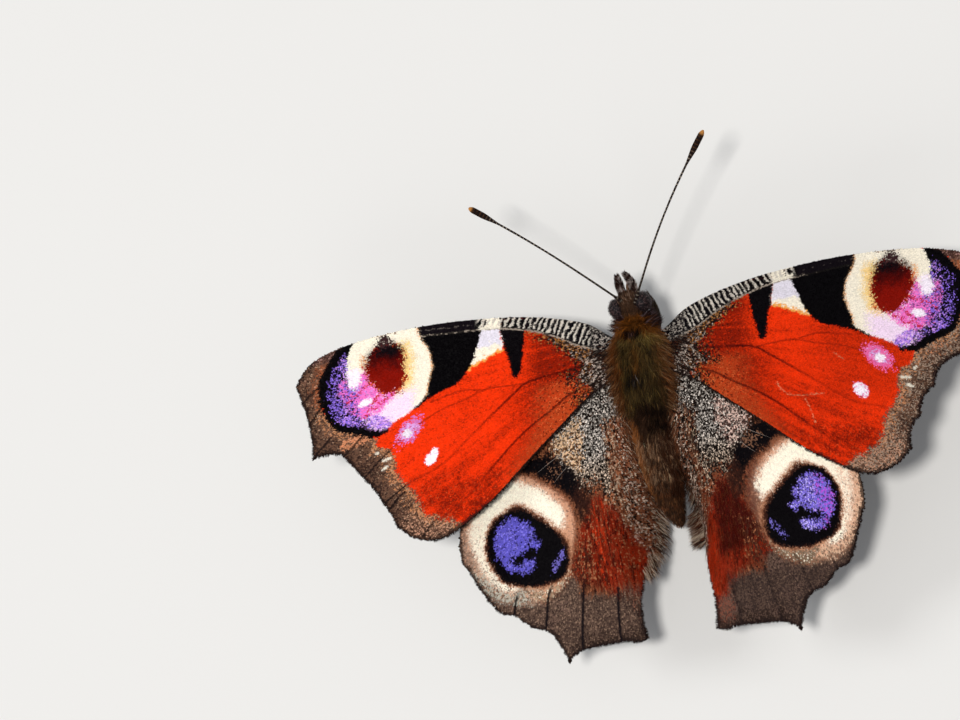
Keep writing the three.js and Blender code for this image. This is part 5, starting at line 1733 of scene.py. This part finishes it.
def make_eyes(rng):
    material = eye_material()
    for side, sign in SIDES.items():
        x, y, z = EYE["centre"]
        eye = ball((sign * x, y, z), EYE["size"])
        add_piece(
            f"compound_eye_{side}", stand(in_head(eye.points())), eye.faces(), material,
            None, eye.spots(), replaces=[f"eye_{side}"],
        )
        roots, normals, lies, spots = eye.scatter(900, rng, lambda p: ramp(0.55, 0.8, sign * p[:, 0]))
        count = len(roots)
        length = rng.uniform(0.1, 0.24, count)[:, None]
        way = unit(normals + lies * 0.3 + rng.normal(0, 0.2, (count, 3)) + (0, 0.2, 0))
        line = in_head(np.stack([roots + way * length * 0.5, roots + way * length], axis=1))
        # A few hairs are pale, partly real and partly standing in for painted glints on the eyes.
        pale = rng.random((count, 1)) < 0.12
        colours = np.where(pale, srgb(170, 146, 146), srgb(44, 30, 30)) * rng.uniform(0.5, 1.2, (count, 1))
        lay_strands(f"eye_hairs_{side}", in_head(roots), line, 0.012, colours, spots, HAIR_MATERIAL)


def limb_tube(path, radii, rows, sides=16, flat=1.0):
    """A round limb along a smooth path."""
    line = smooth_curve(np.array(path, float), rows)
    size = smooth_curve(np.column_stack([radii, radii]), rows)[:, 0]
    size = np.maximum(size, 0.01)
    return Tube(line, size * flat, size, size, sides, np.array((0.07, 0.03, 1.0)))


def make_palps(rng):
    for side, sign in SIDES.items():
        path = np.array(PALP["path"]) * (sign, 1, 1)
        palp = limb_tube(path, PALP["radii"], 40)
        points = in_head(palp.points())
        skin = np.tile(srgb(34, 25, 22), (len(points), 1))
        add_skin(f"palp_skin_{side}", stand(points), palp, skin, [f"palp_{side}"])
        roots, normals, lies, spots = palp.scatter(1700, rng)
        count = len(roots)
        length = rng.uniform(0.28, 0.6, count) * np.interp(-roots[:, 1], (2.0, 3.0, 4.5), (0.8, 1.1, 0.8))
        line = in_head(fur_lines(roots, normals, lies, length, 0.19, 0.42, rng, 2))
        streak = noise(roots[:, :2] + roots[:, 2:] * (0.7, 0), (0.1, 0.3), 92)[:, None]
        streak = streak + rng.normal(0, 0.2, (count, 1))
        pale = streak > 0.6 - 0.06 * (normals[:, 2:3] > 0.3)
        rust = rng.random((count, 1)) < 0.2
        colours = np.where(rust, srgb(92, 52, 40), srgb(28, 19, 19))
        colours = np.where(pale, srgb(206, 190, 182), colours) * rng.uniform(0.6, 1.25, (count, 1))
        lay_strands(f"palp_fur_{side}", in_head(roots), line, 0.02, colours, spots, HAIR_MATERIAL)


def make_tongue():
    """The coiled tongue under the head, finely ringed."""
    share = np.linspace(0, 1, TONGUE_RINGS)
    angle = math.radians(80) + share * TONGUE["turns"] * 2 * math.pi
    radius = TONGUE["outer"] + (TONGUE["inner"] - TONGUE["outer"]) * share
    coil_line = np.column_stack([0 * share, radius * np.cos(angle), radius * np.sin(angle)])
    line = np.array(TONGUE["centre"]) + coil_line
    thick = TONGUE["radius"] * np.interp(share, (0, 0.1, 0.9, 1), (0.9, 1, 0.75, 0.3))
    ripple = np.cos(share * TONGUE_RIPPLE)
    thick = thick * (1 + 0.04 * ripple)
    coil = Tube(line, thick * 0.8, thick, thick, THIN_SIDES, np.array((1.0, 0.02, 0.03)))
    points = coil.points()
    colours = np.tile(srgb(62, 38, 24), (len(points), 1))
    colours = mix(colours, srgb(120, 84, 50), 0.5 + 0.5 * np.repeat(ripple, THIN_SIDES))
    add_skin("tongue_coil", stand(in_head(points)), coil, colours, ["proboscis"])


def make_feelers(rng):
    """Ringed shafts that end in clubs, each cut in two pieces where its club begins."""
    for side, sign in SIDES.items():
        base = np.array(FEELER["base"]) * (sign, 1, 1)
        reach = np.array(FEELER["reach"][side])
        bow = np.array(FEELER["bow"][side])
        start = -0.05
        share = np.linspace(start, 1, FEELER["rings"])
        line = base + share[:, None] * reach + np.sin(math.pi * share)[:, None] * bow
        along = share * np.linalg.norm(reach)
        club_start = 1 - FEELER["club_share"]
        shaft_places = (start, 0.0, 0.04, 0.5, club_start - 0.03)
        thick = np.interp(share, shaft_places, (0.15, 0.16, FEELER["shaft"], 0.09, 0.1))
        swell = ramp(club_start - 0.04, club_start + 0.09, share)
        thick = thick + (FEELER["club"] - 0.1) * swell
        thick *= np.sqrt(np.clip(1 - ramp(0.955, 1.006, share) ** 2, 0.004, 1))
        beat = along / FEELER["ring"] - np.floor(along / FEELER["ring"])
        joint = np.exp(-(((beat - 0.5) / 0.1) ** 2))
        thick *= 1 - 0.1 * np.exp(-(((beat - 0.02) / 0.1) ** 2)) * (1 - swell)
        tube = Tube(line, thick, thick, thick, THIN_SIDES, np.array((0.05, 0.9, 0.4)))
        rings = np.repeat(joint, THIN_SIDES)
        club = np.repeat(swell, THIN_SIDES)
        points = tube.points()
        chance = rng.random(len(points))
        colours = np.tile(srgb(26, 17, 14), (len(points), 1))
        spots = noise(points[:, :2] + points[:, 2:], 0.11, 5)
        pale = rings * (1 - club) * ramp(-0.5, 0.5, spots + 0.3)
        pale = pale * np.repeat(np.interp(share, (0.0, 0.35, 0.8), (0.3, 0.5, 0.75)), THIN_SIDES)
        colours = mix(colours, srgb(206, 192, 172), pale)
        colours = mix(colours, srgb(120, 78, 44), 0.45 * club * rings * (chance > 0.4))
        colours = mix(colours, srgb(176, 120, 62), np.repeat(ramp(0.97, 0.99, share), THIN_SIDES))
        split = int(np.searchsorted(share, club_start))
        pieces = {
            f"feeler_{side}": (0, split + 1, "feeler", f"antenna_{side}"),
            f"feeler_club_{side}": (split, len(share), "club", f"antenna_club_{side}"),
        }
        for name, (first, last, slot, node) in pieces.items():
            rows = slice(first * THIN_SIDES, last * THIN_SIDES)
            add_piece(
                name, stand(points[rows]), grid_faces(last - first, THIN_SIDES), SKIN_MATERIAL,
                colours[rows], tube.spots()[rows], replaces=[node],
            )


# Legs
FORELEG = {
    "path": [(1.05, -2.3, -1.6), (1.3, -3.4, -1.95), (1.25, -4.6, -1.85), (0.95, -5.7, -1.55)],
    "radii": (0.24, 0.26, 0.2, 0.08),
}
WALKING_LEGS = {
    "mid": {
        "hip": (1.2, 0.2, 5.9), "knee": (4.5, -0.9, 5.3), "heel": (6.5, -1.9, 0.35), "toe": (9.3, -3.9, 0.3),
    },
    "hind": {
        "hip": (1.1, 2.4, 5.6), "knee": (3.9, 6.0, 5.1), "heel": (5.9, 8.9, 0.35), "toe": (7.7, 12.2, 0.3),
    },
}


LEG_RADII = {"thigh": (0.42, 0.36, 0.24), "shin": (0.22, 0.2, 0.17), "foot": (0.17, 0.17, 0.15)}
LEG_RINGS = 150
LEG_SIDES = 18
LEG_HAIRS = 1100
FORELEG_HAIRS = 1200
HEEL_LEVEL = 0.66
TOE_LEVEL = 0.6
CLAW = [(0.12, 0.1, 0.06), (0.26, 0.15, 0.0), (0.34, 0.15, -0.12)]
TO_CENTRE = np.array((0, SHIFT_TO_CENTRE, 0))


def leg_line(hip, knee, heel, toe):
    """Leg axis with firm bends at knee and heel, and its thickness."""
    heel = heel * (1, 1, HEEL_LEVEL)
    toe = toe * (1, 1, TOE_LEVEL)
    path, size = [], []
    for start, end, thick in zip((hip, knee, heel), (knee, heel, toe), LEG_RADII.values()):
        for t in (0.06, 0.5, 0.94):
            path.append(start + (end - start) * t)
            size.append(np.interp(t, (0, 0.5, 1), thick))
    line = smooth_curve(np.array(path), LEG_RINGS)
    return line, smooth_curve(np.column_stack([size, size]), LEG_RINGS)[:, 0]


def leg_paint(points, chance, share):
    coat = Coat(points[:, :2] + points[:, 2:], srgb(92, 72, 54), chance)
    coat.lay((52, 38, 30), 0.45)
    coat.lay((176, 156, 128), 0.28 * ramp(0.3, 0.7, share))
    return coat.colour


def make_walking_leg(name, side, joints, rng):
    """A walking leg with its hairs and its two claws. Nothing of it goes below the floor."""
    line, size = leg_line(**joints)
    share = np.linspace(0, 1, len(line))
    ring = np.cos(2 * math.pi * (share - 0.69) / 0.064)
    size = size * (1 + 0.1 * ring * ramp(0.68, 0.72, share))
    tube = Tube(line, size, size, size, LEG_SIDES, np.array((0.3, 0.4, 1.0)))
    points = tube.points() + TO_CENTRE
    points[:, 2] = np.maximum(points[:, 2], 0.0)
    colours = leg_paint(points, rng.random(len(points)), np.repeat(share, LEG_SIDES))
    add_skin(f"{name}_skin_{side}", points * MM, tube, colours, [f"{name}_{side}"])

    roots, normals, lies, spots = tube.scatter(LEG_HAIRS, rng)
    count = len(roots)
    along = spots[:, 1]
    length = rng.uniform(0.7, 1.2, count)
    length = length * np.interp(along, (0, 0.3, 0.36, 0.7, 1), (0.8, 0.55, 0.3, 0.22, 0.14))
    line = fur_lines(roots, normals, lies, length, 0.22 * length + 0.02, 0.2, rng, 2) + TO_CENTRE
    line[..., 2] = np.maximum(line[..., 2], 0.02)
    tint = leg_paint(roots, rng.random(count), along) * rng.uniform(0.7, 1.4, (count, 1))
    lay_strands(
        f"{name}_fur_{side}", roots + TO_CENTRE, line, 0.02, tint, spots, HAIR_MATERIAL, level=False,
    )

    claw_root = joints["toe"] * (1, 1, TOE_LEVEL) + TO_CENTRE
    way = joints["toe"] - joints["heel"]
    way = way * (1, 1, 0) / np.linalg.norm(way[:2])
    across = np.cross(way, (0, 0, 1))
    claws = np.array([
        [claw_root + way * ahead + across * hand * aside + (0, 0, rise) for ahead, aside, rise in CLAW]
        for hand in (-1, 1)
    ])
    lay_strands(
        f"{name}_claws_{side}", np.stack([claw_root - way * 0.1] * 2), claws, 0.05,
        np.tile(srgb(30, 20, 15), (2, 1)), np.full((2, 2), 0.5), SKIN_MATERIAL, level=False,
    )


def make_foreleg(side, sign, rng):
    """A stunted foreleg, tucked up under the head and furry."""
    tube = limb_tube(np.array(FORELEG["path"]) * (sign, 1, 1), FORELEG["radii"], 60)
    points = tube.points()
    share = np.repeat(np.linspace(0, 1, tube.rows), tube.sides)
    colours = leg_paint(points, rng.random(len(points)), share)
    add_skin(f"foreleg_skin_{side}", stand(points), tube, colours, [f"foreleg_{side}"])
    roots, normals, lies, spots = tube.scatter(FORELEG_HAIRS, rng)
    count = len(roots)
    length = rng.uniform(0.35, 0.8, count)
    line = fur_lines(roots, normals, lies, length, 0.15, 0.25, rng, 2)
    tint = leg_paint(roots, rng.random(count), spots[:, 1]) * rng.uniform(0.3, 0.9, (count, 1))
    lay_strands(f"foreleg_fur_{side}", roots, line, 0.022, tint, spots, HAIR_MATERIAL)


def make_legs(rng):
    for side, sign in SIDES.items():
        for place, joints in WALKING_LEGS.items():
            bent = {name: np.array(spot) * (sign, 1, 1) for name, spot in joints.items()}
            make_walking_leg(f"{place}leg", side, bent, rng)
        make_foreleg(side, sign, rng)


detail_rng = np.random.default_rng(23)
make_eyes(detail_rng)
make_palps(detail_rng)
make_tongue()
make_feelers(detail_rng)
make_legs(detail_rng)


# Floor and light
FLOOR_HALF = 0.9
FLOOR_COLOUR = (0.72, 0.71, 0.69, 1)
LIGHTS = {
    "key": {"place": (-0.06, 0.02, 0.8), "size": 0.12, "power": 4.35, "colour": (1, 0.98, 0.95)},
    "fill": {"place": (0.55, -0.2, 0.5), "size": 0.3, "power": 1.8, "colour": (0.97, 0.99, 1)},
    "back": {"place": (0.1, 0.7, 0.4), "size": 0.4, "power": 0.9, "colour": (1, 1, 1)},
}
SKY = {"colour": (0.9, 0.93, 1.0, 1), "strength": 0.3}


def make_floor():
    half = FLOOR_HALF
    mesh = bpy.data.meshes.new("floor")
    corners = [(-half, -half, 0), (half, -half, 0), (half, half, 0), (-half, half, 0)]
    mesh.from_pydata(corners, [], [(0, 1, 2, 3)])
    floor = bpy.data.objects.new("floor", mesh)
    material, _, shader = new_material("floor", 0.9, 0.1)
    shader.inputs["Base Color"].default_value = FLOOR_COLOUR
    mesh.materials.append(material)
    bpy.context.collection.objects.link(floor)


def soft_light(name, place, size, power, colour):
    """A round lamp that shines on the insect."""
    data = bpy.data.lights.new(name, "AREA")
    data.shape = "DISK"
    data.size = size
    data.energy = power
    data.color = colour
    lamp = bpy.data.objects.new(name, data)
    lamp.location = place
    lamp.rotation_mode = "QUATERNION"
    lamp.rotation_quaternion = (-Vector(place)).to_track_quat("-Z", "Y")
    bpy.context.collection.objects.link(lamp)


def make_light():
    for name, lamp in LIGHTS.items():
        soft_light(name, **lamp)
    world = bpy.data.worlds.new("world")
    world.use_nodes = True
    background = world.node_tree.nodes["Background"]
    background.inputs["Color"].default_value = SKY["colour"]
    background.inputs["Strength"].default_value = SKY["strength"]
    bpy.context.scene.world = world
    bpy.context.scene.view_settings.view_transform = "Standard"


make_floor()
make_light()
